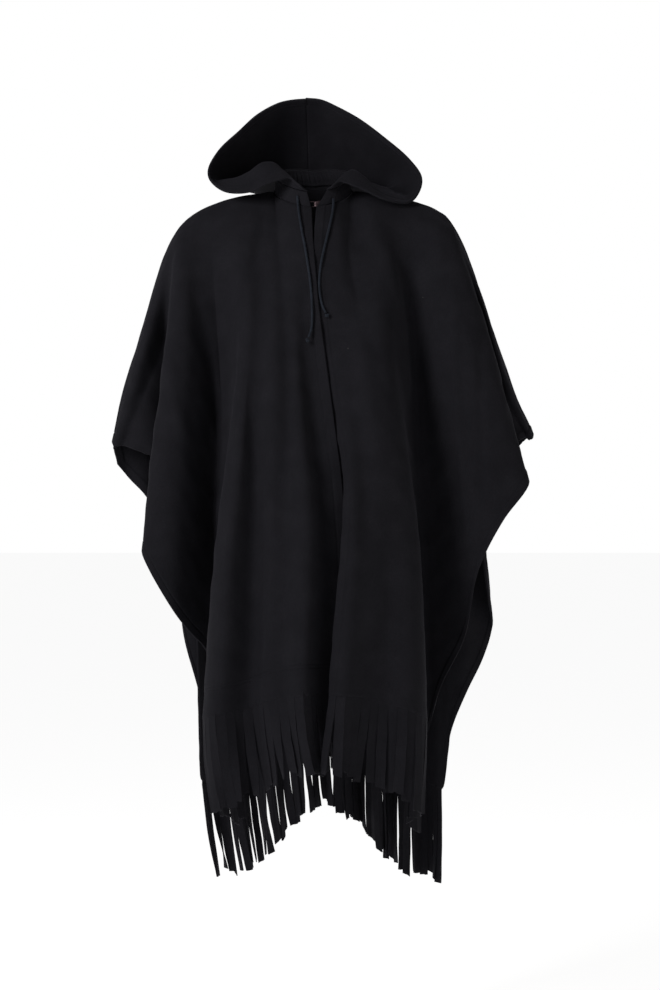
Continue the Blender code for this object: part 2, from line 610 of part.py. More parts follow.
def make_casing(root):
    """The band around the neck that the drawcord runs in."""
    rises = (CLOTH / 2 + SEAM, CASING / 2, CASING)
    grid = []
    for rise in rises:
        share = rise / CASING
        first = CASING_ENDS["right"][0] * (1 - share) + CASING_ENDS["right"][1] * share
        last = CASING_ENDS["left"][0] * (1 - share) + CASING_ENDS["left"][1] * share
        whole = first + 360 - last
        row = []
        for k in range(CASING_COLUMNS + 1):
            degrees = (first - whole * k / CASING_COLUMNS) % 360
            row.append(neck_point(degrees, rise, CASING_LEAN * share))
        grid.append(row)
    closed_wall("neck_casing", grid, grid_normals(grid), CLOTH, WOOL, root)


def hood_place(row, t):
    """A place on one section of the hood, from the rim at 0 to the neck at 1."""
    name, rim_x, rim_y, rim_z, degrees, out, back, lift, sag = row
    rim = Vector((rim_x, rim_y, rim_z))
    neck = neck_point(degrees, CASING + CLOTH / 2 + SEAM + HOOD_EASE, CASING_LEAN)
    bow = 4 * t * (1 - t)
    sideways = math.copysign(out, degrees) * bow
    return rim.lerp(neck, t) + Vector((sideways, back * bow, lift * bow - sag * bow * bow))


def make_hood(name, rows, side, root):
    """One half of the hood; side is -1 on the right and 1 on the left."""
    knots = [0.0]
    for one, two in zip(rows, rows[1:]):
        run = (hood_place(one, 0) - hood_place(two, 0)).length
        knots.append(knots[-1] + HOOD_PITCH[0] * run + HOOD_PITCH[1])
    columns = []
    for one, two in zip(knots, knots[1:]):
        columns += [one, (one + two) / 2]
    columns.append(knots[-1])
    grid = []
    for t in HOOD_STEPS:
        line = [hood_place(row, t) for row in rows]
        grid.append([spline(knots, line, u) for u in columns])
    normals = grid_normals(grid)
    for line, directions in zip(grid, normals):
        line[-1].x += side * SEAM / 2
        directions[-1].x = 0
        directions[-1].normalize()
    closed_wall(name, grid, normals, CLOTH, WOOL, root)


def make_hook(root):
    """A flat hook, bent round the bar of the eye."""
    grid = [[Vector((x, y, EYE["z"] + half * turn)) for x, y, half in HOOK_LINE]
            for turn in (1, -1)]
    closed_wall("hook", grid, grid_normals(grid), HOOK_PLATE, METAL, root)


def make_eye(root):
    """A wire loop with round ends, inside the casing's right end."""
    places = []
    for turn in range(4):
        for step in range(EYE_STEPS):
            angle = (turn + step / (EYE_STEPS - 1)) * math.pi / 2
            reach = EYE["half_width"] - EYE["half_height"]
            centre_x = EYE["x"] + (reach if turn in (0, 3) else -reach)
            places.append((centre_x + EYE["half_height"] * math.cos(angle), EYE["y"],
                           EYE["z"] + EYE["half_height"] * math.sin(angle)))
    places = [place for k, place in enumerate(places)
              if (Vector(place) - Vector(places[k - 1])).length > EYE_WIRE / 2]
    add_tube("eye", places, EYE_WIRE, METAL, root, closed=True)


def add_tube(name, places, radius, spec, root, closed=False):
    curve = bpy.data.curves.new(name, "CURVE")
    curve.dimensions = "3D"
    curve.bevel_depth = radius
    curve.bevel_resolution = 2
    curve.use_fill_caps = not closed
    line = curve.splines.new("POLY")
    line.points.add(len(places) - 1)
    for point, place in zip(line.points, places):
        point.co = (*place, 1)
    line.use_cyclic_u = closed
    add_object(name, curve, spec, root)


def route_places(route, step):
    """Evenly spaced places on the smooth curve through a cord's route."""
    points = [Vector(place) for place in route]
    knots = [0.0]
    for one, two in zip(points, points[1:]):
        knots.append(knots[-1] + (one - two).length)
    count = round(knots[-1] / step)
    return [spline(knots, points, knots[-1] * k / count) for k in range(count + 1)]


def make_cord(name, knot_name, route, root):
    """A free cord end and the knot below it."""
    places = route_places(route, CORD_STEP)
    add_tube(name, places, CORD_RADIUS, CORD, root)
    ahead = (places[-1] - places[-2]).normalized()
    centre = places[-1] + ahead * (KNOT_RADIUS * KNOT_LONG + SEAM)
    body = bmesh.new()
    bmesh.ops.create_uvsphere(body, u_segments=KNOT_SIDES, v_segments=KNOT_RINGS, radius=KNOT_RADIUS)
    turn = Vector((0, 0, 1)).rotation_difference(ahead).to_matrix()
    for vert in body.verts:
        place = Vector((vert.co.x, vert.co.y, vert.co.z * KNOT_LONG))
        vert.co = turn @ place + centre
    add_object(knot_name, finish_mesh(knot_name, body), CORD, root)


def main():
    clear_scene()
    root = bpy.data.objects.new("cape", None)
    bpy.context.scene.collection.objects.link(root)
    front_right = Panel(FRONT_RIGHT, -1)
    front_left = Panel(FRONT_LEFT, -1)
    back = Panel(BACK, 1)
    make_panel("front_right", front_right, "opening edge", "hem corner", root)
    make_panel("front_left", front_left, "opening edge", "hem corner", root)
    make_panel("back", back, "right hem corner", "left hem corner", root)
    make_casing(root)
    make_hood("hood_right", HOOD_RIGHT, -1, root)
    make_hood("hood_left", HOOD_LEFT, 1, root)
    make_eye(root)
    make_hook(root)
    make_cord("drawcord_right", "knot_right", CORD_RIGHT, root)
    make_cord("drawcord_left", "knot_left", CORD_LEFT, root)


main()
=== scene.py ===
"""Looks of the hooded cape: black wool cloth with turned hems and cut fringe,
a gathered neck casing, a two-piece hood and free cord ends with their knots.

Metres, +Z up, the front faces -Y, and "right" is the wearer's right, at -X.
"""
import math

import bpy
import numpy as np
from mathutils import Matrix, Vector


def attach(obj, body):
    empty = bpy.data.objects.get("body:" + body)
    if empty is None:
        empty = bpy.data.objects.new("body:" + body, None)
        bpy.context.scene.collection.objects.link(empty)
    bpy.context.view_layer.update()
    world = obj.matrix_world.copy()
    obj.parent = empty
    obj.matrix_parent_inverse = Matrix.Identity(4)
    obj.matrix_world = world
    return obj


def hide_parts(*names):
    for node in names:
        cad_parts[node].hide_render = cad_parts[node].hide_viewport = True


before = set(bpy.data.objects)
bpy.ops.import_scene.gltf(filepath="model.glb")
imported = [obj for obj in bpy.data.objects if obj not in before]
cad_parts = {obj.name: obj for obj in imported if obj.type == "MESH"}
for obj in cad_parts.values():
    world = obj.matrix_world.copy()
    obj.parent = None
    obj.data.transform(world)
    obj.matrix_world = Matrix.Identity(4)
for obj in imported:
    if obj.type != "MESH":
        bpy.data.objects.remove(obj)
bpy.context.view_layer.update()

# Cloth and seams
CLOTH = .002  # thickness of the wool cloth
SEAM = .0003  # gap between pieces that are sewn together
HEM_SAMPLES = 600  # steps that measure a hem
HEM_FROM = .84  # a fringe goes on the way the cloth falls from this level
HEM = .0145  # width of the turned hems
HEM_FOLD = .0014  # a hem is thicker by this
HEM_STEP = (.001, .002)  # its step ends this far past the stitches, and is this wide
GROOVE = .0008  # depth of the stitch lines
GROOVE_WIDTH = .0011
NEAR_EDGE = (0, .0012, .0035, .0075, .0115, .0132, .0145, .0158, .018, .023, .03)
EDGE_SHARE = .42  # these close steps take up no more of a line than this
EDGE_BULGE = .6  # an edge is round by this part of half its thickness
BAND_LINES = (.0345, .04)  # two stitch lines lie this far above the cut fringe
NEAR_HEM = NEAR_EDGE + (.0322, .0333, .0345, .0357, .0372, .0388, .04, .0412, .0426, .046)

# Neckline
NECK_X = -.008  # middle of the neckline
NECK_HALF = .062  # half width of the neckline
NECK_FRONT = .072  # depth of the neckline in front of the shoulder seam
NECK_BACK = .058  # and behind it
NECK_TILT = .027  # the nape lies higher and the front lower by this
NECK_LEVEL = .003  # middle height of the neckline
NECK_SIDE_RISE = .009  # it lies higher at the sides by this
NECK_EASE = .002  # the panels stay outside the casing by this
NECK_RUN = (.024, .036)  # the cloth runs out and down by this from the neckline
CASING = .024  # height of the drawcord casing
CASING_LEAN = .004  # the casing closes in by this towards its top
HOOD_EASE = .0007  # room for the turn from the casing into the hood
HOOD_PITCH = (.5, .01)  # each section counts for half its rim, and this more
CASING_ENDS = {  # degrees from the centre front, at the foot and top
    "right": (-2.5, -9.0),
    "left": (5.7, 23.0),
}

# Fringe
STRIP = .0155  # pitch of the cut strips
ROOT = .008  # height of the uncut edge above the strips
LEANS = {  # to the left, as a part of a strip's length, at the hem's first fold and last
    "front_right": (.13, .17),
    "front_left": (-.1, -.03),
    "back": (.19, -.02),
}
FIRST_TURN = .65  # share of the turn to plumb in a strip's upper half
UNEVEN = ((.03, 2.1), (.02, 5.3))  # strip lengths differ by these waves
WANDER = (.02, 3.7)  # and the strips lean in and out by this one

# Where each level of a fold lies between the top line and the lower edge
CREST = .07
MID = .36
LOW = .68
CREST_SHARE = .12  # the crest lies this far towards the middle place
CREST_DROP = .45  # and drops by this part of the shoulder's round
FIRST_SLOPE = 1.5  # the cloth leaves the top line level, this fast
NECK_FADE = .12  # the neckline's own shape fades out by this level

# The top of shoulders and arms: height, reach to each side, and how far the
# cloth comes forward or back before it falls
SHOULDER = (
    # height, right, left, round
    (.012, .07, .054, .03),
    (.003, .131, .131, .045),
    (-.007, .164, .164, .05),
    (-.017, .188, .19, .05),
    (-.033, .211, .211, .048),
    (-.057, .231, .227, .045),
    (-.081, .244, .238, .042),
    (-.13, .261, .254, .038),
    (-.178, .274, .27, .035),
    (-.227, .288, .287, .032),
    (-.275, .305, .305, .028),
    (-.324, .319, .322, .022),
    (-.373, .329, .345, .014),
    (-.4, .335, .353, .01),
)

# The two edges of the front opening. The right one lies over the left one above
# the twist, where they part, and behind it below.
OPENING = (
    # level, right x, right y, left x, left y
    (0, -.01, -.0735, -.002, -.0725),
    (.07, -.008, -.104, -.005, -.099),
    (.12, -.005, -.118, -.005, -.111),
    (.22, .002, -.133, -.001, -.125),
    (.36, .016, -.147, .013, -.139),
    (.48, .028, -.158, .031, -.153),
    (.56, .036, -.156, .041, -.17),
    (.68, .043, -.152, .039, -.186),
    (.84, .047, -.148, .028, -.191),
    (1, .046, -.145, .019, -.19),
)

# Folds of each panel, from the middle to the elbow. A fold starts on the top
# line and ends on the hem or, past the hem corner, on the free side edge.
FRONT_RIGHT = (
    # fold, top x, mid x, mid y, low x, low y, end x, end y, end z
    ("opening edge", -.01, .016, -.147, .043, -.152, .046, -.145, -.775),
    ("edge flat", -.024, -.008, -.144, .016, -.162, .013, -.152, -.778),
    ("inner ridge", -.048, -.032, -.158, -.019, -.193, -.024, -.2, -.775),
    ("inner valley", -.059, -.047, -.154, -.045, -.17, -.049, -.18, -.779),
    ("broad ridge", -.073, -.065, -.158, -.072, -.168, -.074, -.172, -.785),
    ("soft valley", -.091, -.09, -.147, -.1, -.15, -.102, -.138, -.801),
    ("side crest", -.11, -.11, -.152, -.136, -.171, -.156, -.162, -.81),
    ("side contour", -.122, -.124, -.14, -.156, -.144, -.177, -.128, -.817),
    ("side turn", -.137, -.129, -.118, -.158, -.103, -.174, -.09, -.829),
    ("side return", -.152, -.137, -.09, -.152, -.07, -.153, -.06, -.845),
    ("hem corner", -.166, -.147, -.07, -.158, -.042, -.141, -.03, -.858),
    ("side edge low", -.18, -.166, -.07, -.178, -.047, -.178, -.038, -.726),
    ("side edge middle", -.194, -.188, -.09, -.194, -.076, -.206, -.066, -.691),
    ("side edge high", -.206, -.208, -.107, -.218, -.104, -.231, -.092, -.653),
    ("arm ridge", -.217, -.237, -.098, -.258, -.102, -.276, -.09, -.57),
    ("arm turn", -.227, -.238, -.056, -.256, -.056, -.272, -.05, -.552),
    ("arm valley", -.256, -.246, -.022, -.243, -.012, -.24, -.01, -.451),
    ("over arm", -.305, -.281, -.034, -.27, -.031, -.26, -.028, -.419),
    ("tip", -.333, -.312, -.018, -.294, -.027, -.276, -.03, -.411),
)
FRONT_LEFT = (
    # fold, top x, mid x, mid y, low x, low y, end x, end y, end z
    ("opening edge", -.002, .013, -.139, .039, -.186, .019, -.19, -.775),
    ("centre ridge", .023, .038, -.15, .056, -.2, .039, -.206, -.774),
    ("centre slope", .04, .061, -.158, .079, -.186, .07, -.184, -.779),
    ("broad slope", .054, .077, -.162, .104, -.173, .105, -.165, -.79),
    ("side crest", .09, .1, -.16, .136, -.16, .145, -.168, -.802),
    ("side contour", .104, .115, -.147, .153, -.143, .167, -.14, -.816),
    ("side turn", .116, .126, -.12, .157, -.11, .167, -.1, -.83),
    ("side return", .128, .136, -.09, .154, -.075, .149, -.066, -.846),
    ("hem corner", .141, .149, -.068, .162, -.047, .17, -.034, -.864),
    ("side edge low", .154, .164, -.066, .184, -.048, .196, -.04, -.786),
    ("side edge middle", .166, .184, -.088, .212, -.072, .232, -.06, -.708),
    ("side edge high", .177, .207, -.106, .243, -.099, .256, -.08, -.59),
    ("arm flat", .185, .229, -.106, .27, -.106, .292, -.092, -.517),
    ("arm ridge", .194, .253, -.086, .294, -.088, .332, -.082, -.461),
    ("arm turn", .207, .257, -.056, .295, -.056, .326, -.05, -.441),
    ("arm valley", .246, .268, -.044, .285, -.034, .296, -.026, -.396),
    ("over arm", .314, .305, -.038, .305, -.035, .305, -.028, -.393),
    ("tip", .347, .335, -.018, .326, -.026, .318, -.029, -.393),
)
BACK = (
    # fold, top x, mid x, mid y, low x, low y, end x, end y, end z
    ("tip", -.333, -.331, .014, -.329, .02, -.327, .022, -.428),
    ("over arm", -.305, -.315, .026, -.314, .03, -.31, .036, -.449),
    ("arm valley", -.262, -.272, .034, -.276, .036, -.278, .04, -.486),
    ("arm turn", -.238, -.262, .055, -.268, .06, -.266, .062, -.52),
    ("arm ridge", -.226, -.252, .078, -.262, .092, -.26, .092, -.548),
    ("side high", -.212, -.238, .088, -.241, .108, -.236, .11, -.62),
    ("side middle", -.198, -.222, .084, -.224, .09, -.221, .095, -.725),
    ("side low", -.184, -.205, .086, -.204, .088, -.197, .096, -.82),
    ("right hem corner", -.173, -.195, .092, -.199, .105, -.195, .114, -.957),
    ("turn", -.161, -.185, .102, -.19, .13, -.189, .138, -.958),
    ("outer ridge", -.148, -.171, .112, -.175, .148, -.171, .158, -.957),
    ("outer valley", -.126, -.146, .106, -.149, .122, -.144, .122, -.952),
    ("middle ridge", -.098, -.117, .124, -.12, .16, -.116, .178, -.943),
    ("inner valley", -.07, -.087, .116, -.091, .134, -.088, .13, -.92),
    ("inner ridge", -.05, -.06, .128, -.062, .156, -.062, .168, -.893),
    ("right centre valley", -.03, -.036, .12, -.036, .136, -.034, .13, -.87),
    ("centre ridge", -.008, -.004, .13, -.003, .172, -.002, .192, -.862),
    ("left centre valley", .014, .026, .118, .032, .132, .034, .124, -.868),
    ("inner ridge", .034, .056, .13, .066, .164, .07, .178, -.893),
    ("inner valley", .054, .086, .112, .096, .122, .1, .116, -.922),
    ("middle ridge", .09, .116, .12, .122, .156, .122, .172, -.94),
    ("outer valley", .124, .147, .106, .151, .12, .149, .118, -.95),
    ("outer ridge", .146, .172, .11, .178, .144, .178, .156, -.958),
    ("turn", .158, .187, .1, .196, .126, .198, .136, -.962),
    ("left hem corner", .17, .197, .09, .208, .104, .206, .112, -.963),
    ("side low", .182, .208, .084, .224, .09, .222, .092, -.868),
    ("side middle", .196, .224, .082, .243, .084, .25, .086, -.797),
    ("side high", .21, .242, .086, .258, .098, .276, .098, -.745),
    ("arm ridge", .224, .256, .08, .27, .096, .29, .1, -.7),
    ("arm turn", .238, .262, .056, .27, .062, .282, .064, -.65),
    ("arm valley", .264, .276, .036, .274, .04, .27, .044, -.545),
    ("over arm", .314, .316, .026, .31, .03, .304, .036, -.44),
    ("tip", .347, .34, .013, .334, .018, .328, .021, -.396),
)

# The hood: its rim from the front corner over the top, where each place meets
# the neck, and how far the cloth between them goes out sideways, reaches back,
# arches up and sags
HOOD_RIGHT = (
    # place, rim x, y, z, neck degrees, out, back, lift, sag
    ("corner", -.026, -.0745, .0095, -9.0, 0, 0, 0, 0),
    ("rise", -.036, -.0705, .0185, -20.0, 0, .001, .002, 0),
    ("turn", -.044, -.067, .0245, -33.0, .002, .002, .008, 0),
    ("roll", -.058, -.071, .0215, -44.0, .012, .011, .03, 0),
    ("dip", -.078, -.074, .015, -55.0, .018, .012, .034, 0),
    ("low", -.105, -.07, .0025, -67.0, .022, .012, .027, 0),
    ("side low", -.146, -.054, .0045, -80.0, .028, .02, .016, 0),
    ("side edge", -.171, -.035, .024, -91.0, .024, .036, .01, .006),
    ("side", -.177, -.012, .047, -102.0, .016, .058, .01, .022),
    ("upper", -.16, .012, .084, -117.0, .006, .085, .008, .044),
    ("upper side", -.13, .024, .115, -130.0, 0, .097, .006, .066),
    ("shoulder", -.098, .035, .146, -146.0, 0, .108, .003, .09),
    ("top side", -.063, .043, .166, -162.0, 0, .115, 0, .112),
    ("crown", -.042, .046, .171, -171.0, 0, .117, 0, .121),
    ("top", -.02, .047, .173, -180.0, 0, .118, 0, .125),
)
HOOD_LEFT = (
    # place, rim x, y, z, neck degrees, out, back, lift, sag
    ("corner", .022, -.0745, .0095, 23.0, 0, 0, 0, 0),
    ("rise", .03, -.0695, .017, 31.0, 0, .001, .002, 0),
    ("turn", .037, -.0665, .0195, 39.0, .003, .003, .01, 0),
    ("roll", .049, -.0705, .0155, 48.0, .01, .01, .024, 0),
    ("dip", .074, -.073, .0055, 59.0, .014, .012, .02, 0),
    ("low", .106, -.068, -.0085, 70.0, .016, .018, .01, 0),
    ("side low", .144, -.05, -.011, 82.0, .02, .032, .004, .002),
    ("side edge", .161, -.03, .0085, 93.0, .016, .046, .005, .01),
    ("side", .166, -.012, .034, 102.0, .012, .055, .01, .02),
    ("upper", .147, .01, .067, 116.0, .006, .085, .01, .04),
    ("upper side", .107, .022, .104, 130.0, 0, .097, .006, .062),
    ("shoulder", .067, .033, .136, 146.0, 0, .108, .003, .088),
    ("top side", .032, .041, .157, 161.0, 0, .115, 0, .108),
    ("crown", .004, .045, .17, 171.0, 0, .117, 0, .12),
    ("top", -.02, .047, .173, 180.0, 0, .118, 0, .125),
)

# Strip lengths: across from the middle, front and back
STRIP_LENGTHS = (
    # across, front, back
    (0, .122, .138),
    (.08, .128, .146),
    (.16, .146, .156),
    (.24, .15, .158),
)

# Soft creases in the cloth, from one level of a panel to another. They lie
# beside the main folds: across is a share of the panel's width, drift is how
# far the crease wanders sideways on its way down, and height is below zero in
# a trough.
CREASES_RIGHT = (
    # across, top, bottom, drift, width, height
    (.075, .1, .62, .02, .016, -.0022),
    (.225, .3, 1, 0, .018, -.006),
    (.265, .05, .45, .015, .014, -.0018),
    (.16, .55, 1, 0, .016, .002),
    (.43, .15, .7, .025, .016, .002),
    (.44, .02, .5, .06, .028, -.0055),
    (.62, .25, .8, .015, .024, .0024),
    (.7, .12, .6, .01, .018, -.0018),
    (.8, .35, .95, -.012, .014, .0018),
    (.85, .02, .8, .04, .016, -.0035),
)
CREASES_LEFT = (
    # across, top, bottom, drift, width, height
    (.125, .3, .95, .012, .016, -.0024),
    (.15, .08, .5, .02, .016, .002),
    (.225, .4, 1, .01, .02, -.0024),
    (.275, .02, .46, .04, .022, -.007),
    (.085, .2, .92, -.02, .016, .0034),
    (.425, .06, .42, .018, .014, -.002),
    (.555, .2, .85, .1, .014, -.0034),
    (.655, .2, .85, .06, .016, .003),
    (.78, .3, .9, -.01, .014, .002),
    (.9, .15, .85, .006, .013, -.0018),
)
CREASES_BACK = (
    # across, top, bottom, drift, width, height
    (.075, .15, .8, -.006, .013, -.002),
    (.16, .12, .6, -.01, .015, .0022),
    (.235, .3, .85, .012, .016, -.0024),
    (.3, .08, .45, -.018, .014, .002),
    (.365, .4, 1, .01, .018, -.0022),
    (.43, .1, .52, -.012, .015, -.0024),
    (.49, .35, .9, .01, .018, .0022),
    (.555, .07, .48, .014, .015, -.0022),
    (.625, .38, .96, -.01, .017, .002),
    (.7, .1, .55, .016, .014, -.0024),
    (.775, .28, .82, -.012, .016, .0022),
    (.845, .12, .62, .01, .014, -.0022),
    (.925, .2, .85, .006, .013, -.0018),
)
CREASE_ENDS = .16  # a crease fades in and out over this share of its length
CREASE_ROOM = (.05, .05, .04)  # and near side edges, top line and lower edge
SWELLS = (
    # wave length, direction in degrees, phase, height of the cloth's unevenness
    (.083, 12, .4, .0004),
    (.061, 71, 2.1, .00035),
    (.047, 133, 4.0, .0003),
    (.034, 40, 1.2, .00018),
    (.029, 104, 5.1, .00015),
)
SWELL_SKEW = .7  # the waves run on from front to back by this
SWELL_ROOM = (.03, .02)  # they fade near the top line and the lower edge
RUN_ON = (.006, .02)  # behind the uncut edge it thins at its ends: length, least part

# Drawcord
CORD_RADIUS = .002
CORD_STEP = .0012  # between the rings of the cord
CORD_SIDES = 16
CORD_FACE = (0, 1.0, .2)  # no cord starts along this direction
CORD_BRAID = (.00018, .0085, 3)  # depth, pitch and number of its crossing strands
KNOT_SIZE = .00135  # scale of the overhand knot
KNOT_CORD = .0017  # the cord is pulled thin in the knot
KNOT_DROP = .005  # the knot's middle lies this far past the cord's end
KNOT_STEPS = 96
KNOT_SHAPE = (.9, 1.1)  # a clover loop's height and depth for its width
KNOT_REACH = 1.9  # middle reach of the loop before it is scaled

CORD_RIGHT = (
    # x, y, z from the casing's eyelet to the knot
    (-.0322, -.0668, -.0035),
    (-.0317, -.0703, -.0131),
    (-.0304, -.0801, -.0273),
    (-.0285, -.0898, -.0413),
    (-.0262, -.0983, -.0551),
    (-.0239, -.104, -.0685),
    (-.0213, -.1092, -.0817),
    (-.0184, -.1154, -.0982),
    (-.0159, -.1205, -.1144),
    (-.0135, -.124, -.1304),
    (-.0114, -.1275, -.1464),
    (-.0098, -.1305, -.1623),
    (-.0089, -.1334, -.1781),
    (-.0084, -.1363, -.1939),
    (-.0085, -.1389, -.2096),
    (-.0101, -.1414, -.2237),
    (-.0136, -.1438, -.234),
)
CORD_LEFT = (
    # x, y, z from the casing's eyelet to the knot
    (.025, -.0632, -.0077),
    (.0246, -.07, -.0179),
    (.0235, -.0786, -.0302),
    (.021, -.0881, -.0442),
    (.0181, -.0961, -.0579),
    (.015, -.1018, -.0712),
    (.0116, -.1068, -.0861),
    (.0084, -.1119, -.1008),
    (.0055, -.1162, -.1154),
    (.0036, -.1195, -.1298),
    (.0026, -.1228, -.1442),
    (.0029, -.1258, -.1585),
    (.0048, -.1282, -.1728),
    (.0082, -.1304, -.1855),
    (.0128, -.1332, -.195),
)

# View
CAMERA = (.0194, -3.2, -.478)
LENS = 71.83
LONG_SIDE = 36.0
FAR_CLIP = 200
FLOOR_LEVEL = -1.45
FLOOR_HALF = 30.0
WHITE = (1, 1, 1, 1)
AMBIENT = .07  # light of the pale room on the cape
LIGHTS = (
    # name, place, target, size, power, colour
    ("left_softbox", (-1.3, -1.4, .5), (0, 0, -.2), (.6, 1.0), 33, (1.0, .99, 1.0)),
    ("right_softbox", (3.1, -1.15, .45), (.1, 0, -.4), (.9, 1.6), 11.5, (1.0, .93, .86)),
)


def spline(knots, values, places, start=None):
    """Smooth curve through values, read at many places; start is its first slope."""
    knots = np.asarray(knots, float)
    values = np.asarray(values, float)
    places = np.atleast_1d(np.asarray(places, float))
    wide = (-1,) + (1,) * (values.ndim - 1)
    steps = np.diff(knots).reshape(wide)
    rises = np.diff(values, axis=0) / steps
    slopes = np.empty_like(values)
    slopes[0] = rises[0] if start is None else start
    slopes[-1] = rises[-1]
    slopes[1:-1] = (rises[:-1] * steps[1:] + rises[1:] * steps[:-1]) / (steps[:-1] + steps[1:])
    i = np.clip(np.searchsorted(knots, places) - 1, 0, len(knots) - 2)
    s = (places - knots[i]).reshape(wide) / steps[i]
    ends = values[i] * (2 * s ** 3 - 3 * s ** 2 + 1) + values[i + 1] * (3 * s ** 2 - 2 * s ** 3)
    turns = slopes[i] * (s ** 3 - 2 * s ** 2 + s) + slopes[i + 1] * (s ** 3 - s ** 2)
    return ends + turns * steps[i]


def ease(values, room):
    """0 to 1 over a length."""
    return np.clip(values / room, 0, 1)


def runs_of(line):
    """Length along a line of places, from its start."""
    return np.append(0, np.cumsum(np.linalg.norm(np.diff(line, axis=0), axis=1)))


def unit(vectors):
    length = np.linalg.norm(vectors, axis=-1, keepdims=True)
    return vectors / np.maximum(length, 1e-12)


def neck_point(degrees, rise=.0, shrink=.0):
    """A place on the neckline, or above it; 0 is the centre front, 180 the nape."""
    angle = math.radians(degrees)
    depth = NECK_FRONT if math.cos(angle) > 0 else NECK_BACK
    level = NECK_LEVEL - NECK_TILT * math.cos(angle) + NECK_SIDE_RISE * abs(math.sin(angle))
    return np.array((
        NECK_X + (NECK_HALF - shrink) * math.sin(angle),
        -(depth - shrink) * math.cos(angle),
        level + rise,
    ))


def shoulder_row(across):
    """Height and roundness of the shoulder line at a place across."""
    column = 2 if across > 0 else 1
    reach = [row[column] for row in SHOULDER]
    far = min(max(abs(across), reach[0]), reach[-1])
    return spline(reach, [(row[0], row[3]) for row in SHOULDER], far)[0]


def top_point(across, facing):
    """A place on the panels' top line; facing is -1 in front and 1 behind."""
    offset = (across - NECK_X) / NECK_HALF
    if abs(offset) < 1:
        angle = math.degrees(math.asin(offset))
        return neck_point(angle if facing < 0 else 180 - angle, shrink=-NECK_EASE)
    return np.array((across, facing * SEAM / 2, shoulder_row(across)[0]))


def fold_curve(row, facing):
    """Levels, places and first slope of one fold, down from the top line."""
    name, top_x, mid_x, mid_y, low_x, low_y, end_x, end_y, end_z = row
    top = top_point(top_x, facing)
    drop = end_z - top[2]
    middle = np.array((mid_x, mid_y, top[2] + drop * MID))
    crest = top + (middle - top) * CREST_SHARE
    if abs(top_x - NECK_X) < NECK_HALF:
        crest[1] = top[1] + facing * NECK_RUN[0]
        crest[2] = top[2] - NECK_RUN[1]
        start = None
    else:
        round_over = shoulder_row(top_x)[1]
        crest[1] = facing * round_over
        crest[2] = top[2] - CREST_DROP * round_over
        start = np.array((0, facing * round_over * FIRST_SLOPE / CREST, 0))
    low = np.array((low_x, low_y, top[2] + drop * LOW))
    places = np.array((top, crest, middle, low, (end_x, end_y, end_z)))
    return (0, CREST, MID, LOW, 1), places, start


def opening_curve(side, drop_to):
    """Levels and places of one edge of the front opening; side is -1 or 1."""
    column = 1 if side < 0 else 3
    top = top_point(OPENING[0][column], -1)
    places = [top]
    for row in OPENING[1:]:
        places.append((row[column], row[column + 1], top[2] + (drop_to - top[2]) * row[0]))
    return tuple(row[0] for row in OPENING), np.array(places), None


class Panel:
    """Smooth surface through a table of folds: u runs across it, v down it."""

    def __init__(self, rows, facing):
        self.names = [row[0] for row in rows]
        self.facing = facing
        self.folds = [fold_curve(row, facing) for row in rows]
        self.knots = [.0]
        for one, two in zip(self.folds, self.folds[1:]):
            run = sum(np.linalg.norm(one[1][k] - two[1][k]) for k in (2, 3, 4)) / 3
            self.knots.append(self.knots[-1] + run)
        if self.names[0] == "opening edge":
            side = -1 if rows[-1][1] < 0 else 1
            self.folds[0] = opening_curve(side, rows[0][-1])

    def at(self, across, down):
        """Places for each level down and each place across."""
        down = np.asarray(down, float)
        lines = np.array([spline(k, places, down, start) for k, places, start in self.folds])
        found = spline(self.knots, lines, across)
        tops = spline(self.knots, np.array([places[0] for k, places, start in self.folds]), across)
        wanted = np.array([top_point(top[0], self.facing) for top in tops])
        fade = np.maximum(.0, 1 - down / NECK_FADE) ** 2
        found += (wanted - tops)[:, None] * fade[None, :, None]
        return found.transpose(1, 0, 2)

    def knot(self, name):
        return self.knots[self.names.index(name)]

    def hem_cuts(self, start, end):
        """Places across, one strip apart along the lower edge between two folds."""
        samples = np.linspace(self.knot(start), self.knot(end), HEM_SAMPLES + 1)
        line = self.at(samples, (1.0,))[0]
        runs = runs_of(line)
        count = round(runs[-1] / STRIP)
        return np.interp(np.linspace(0, runs[-1], count + 1), runs, samples)


def run_along(grid, axis):
    """Length along each line of a grid, from its start."""
    steps = np.linalg.norm(np.diff(grid, axis=axis), axis=2)
    runs = np.cumsum(steps, axis=axis)
    return np.concatenate((np.zeros_like(np.take(runs, [0], axis)), runs), axis)


def relay(lines, first, last, count):
    """Lays each line of places again with close steps near its ends."""
    shares = np.linspace(0, 1, count)
    first, last = np.array(first), np.array(last)
    laid = []
    for line in lines:
        runs = runs_of(line)
        fit = min(1.0, EDGE_SHARE * runs[-1] / max(first[-1], last[-1]))
        low, high = first[-1] * fit, runs[-1] - last[-1] * fit
        places = np.concatenate((first[:-1] * fit, low + (high - low) * shares,
                                 runs[-1] - last[-2::-1] * fit))
        laid.append(np.stack([np.interp(places, runs, line[:, k]) for k in range(3)], 1))
    return np.array(laid)


def grid_shares(grid):
    """Shares across and down at each place of a grid, and the length down to it."""
    down = run_along(grid, 0)
    across = np.linspace(0, 1, grid.shape[1])[None, :] * np.ones((grid.shape[0], 1))
    return across, down / down[-1:], down


def grid_normals(grid):
    """Unit normals of a grid of places, facing out of the cape."""
    down = np.gradient(grid, axis=0)
    across = np.gradient(grid, axis=1)
    return unit(np.cross(across, down))


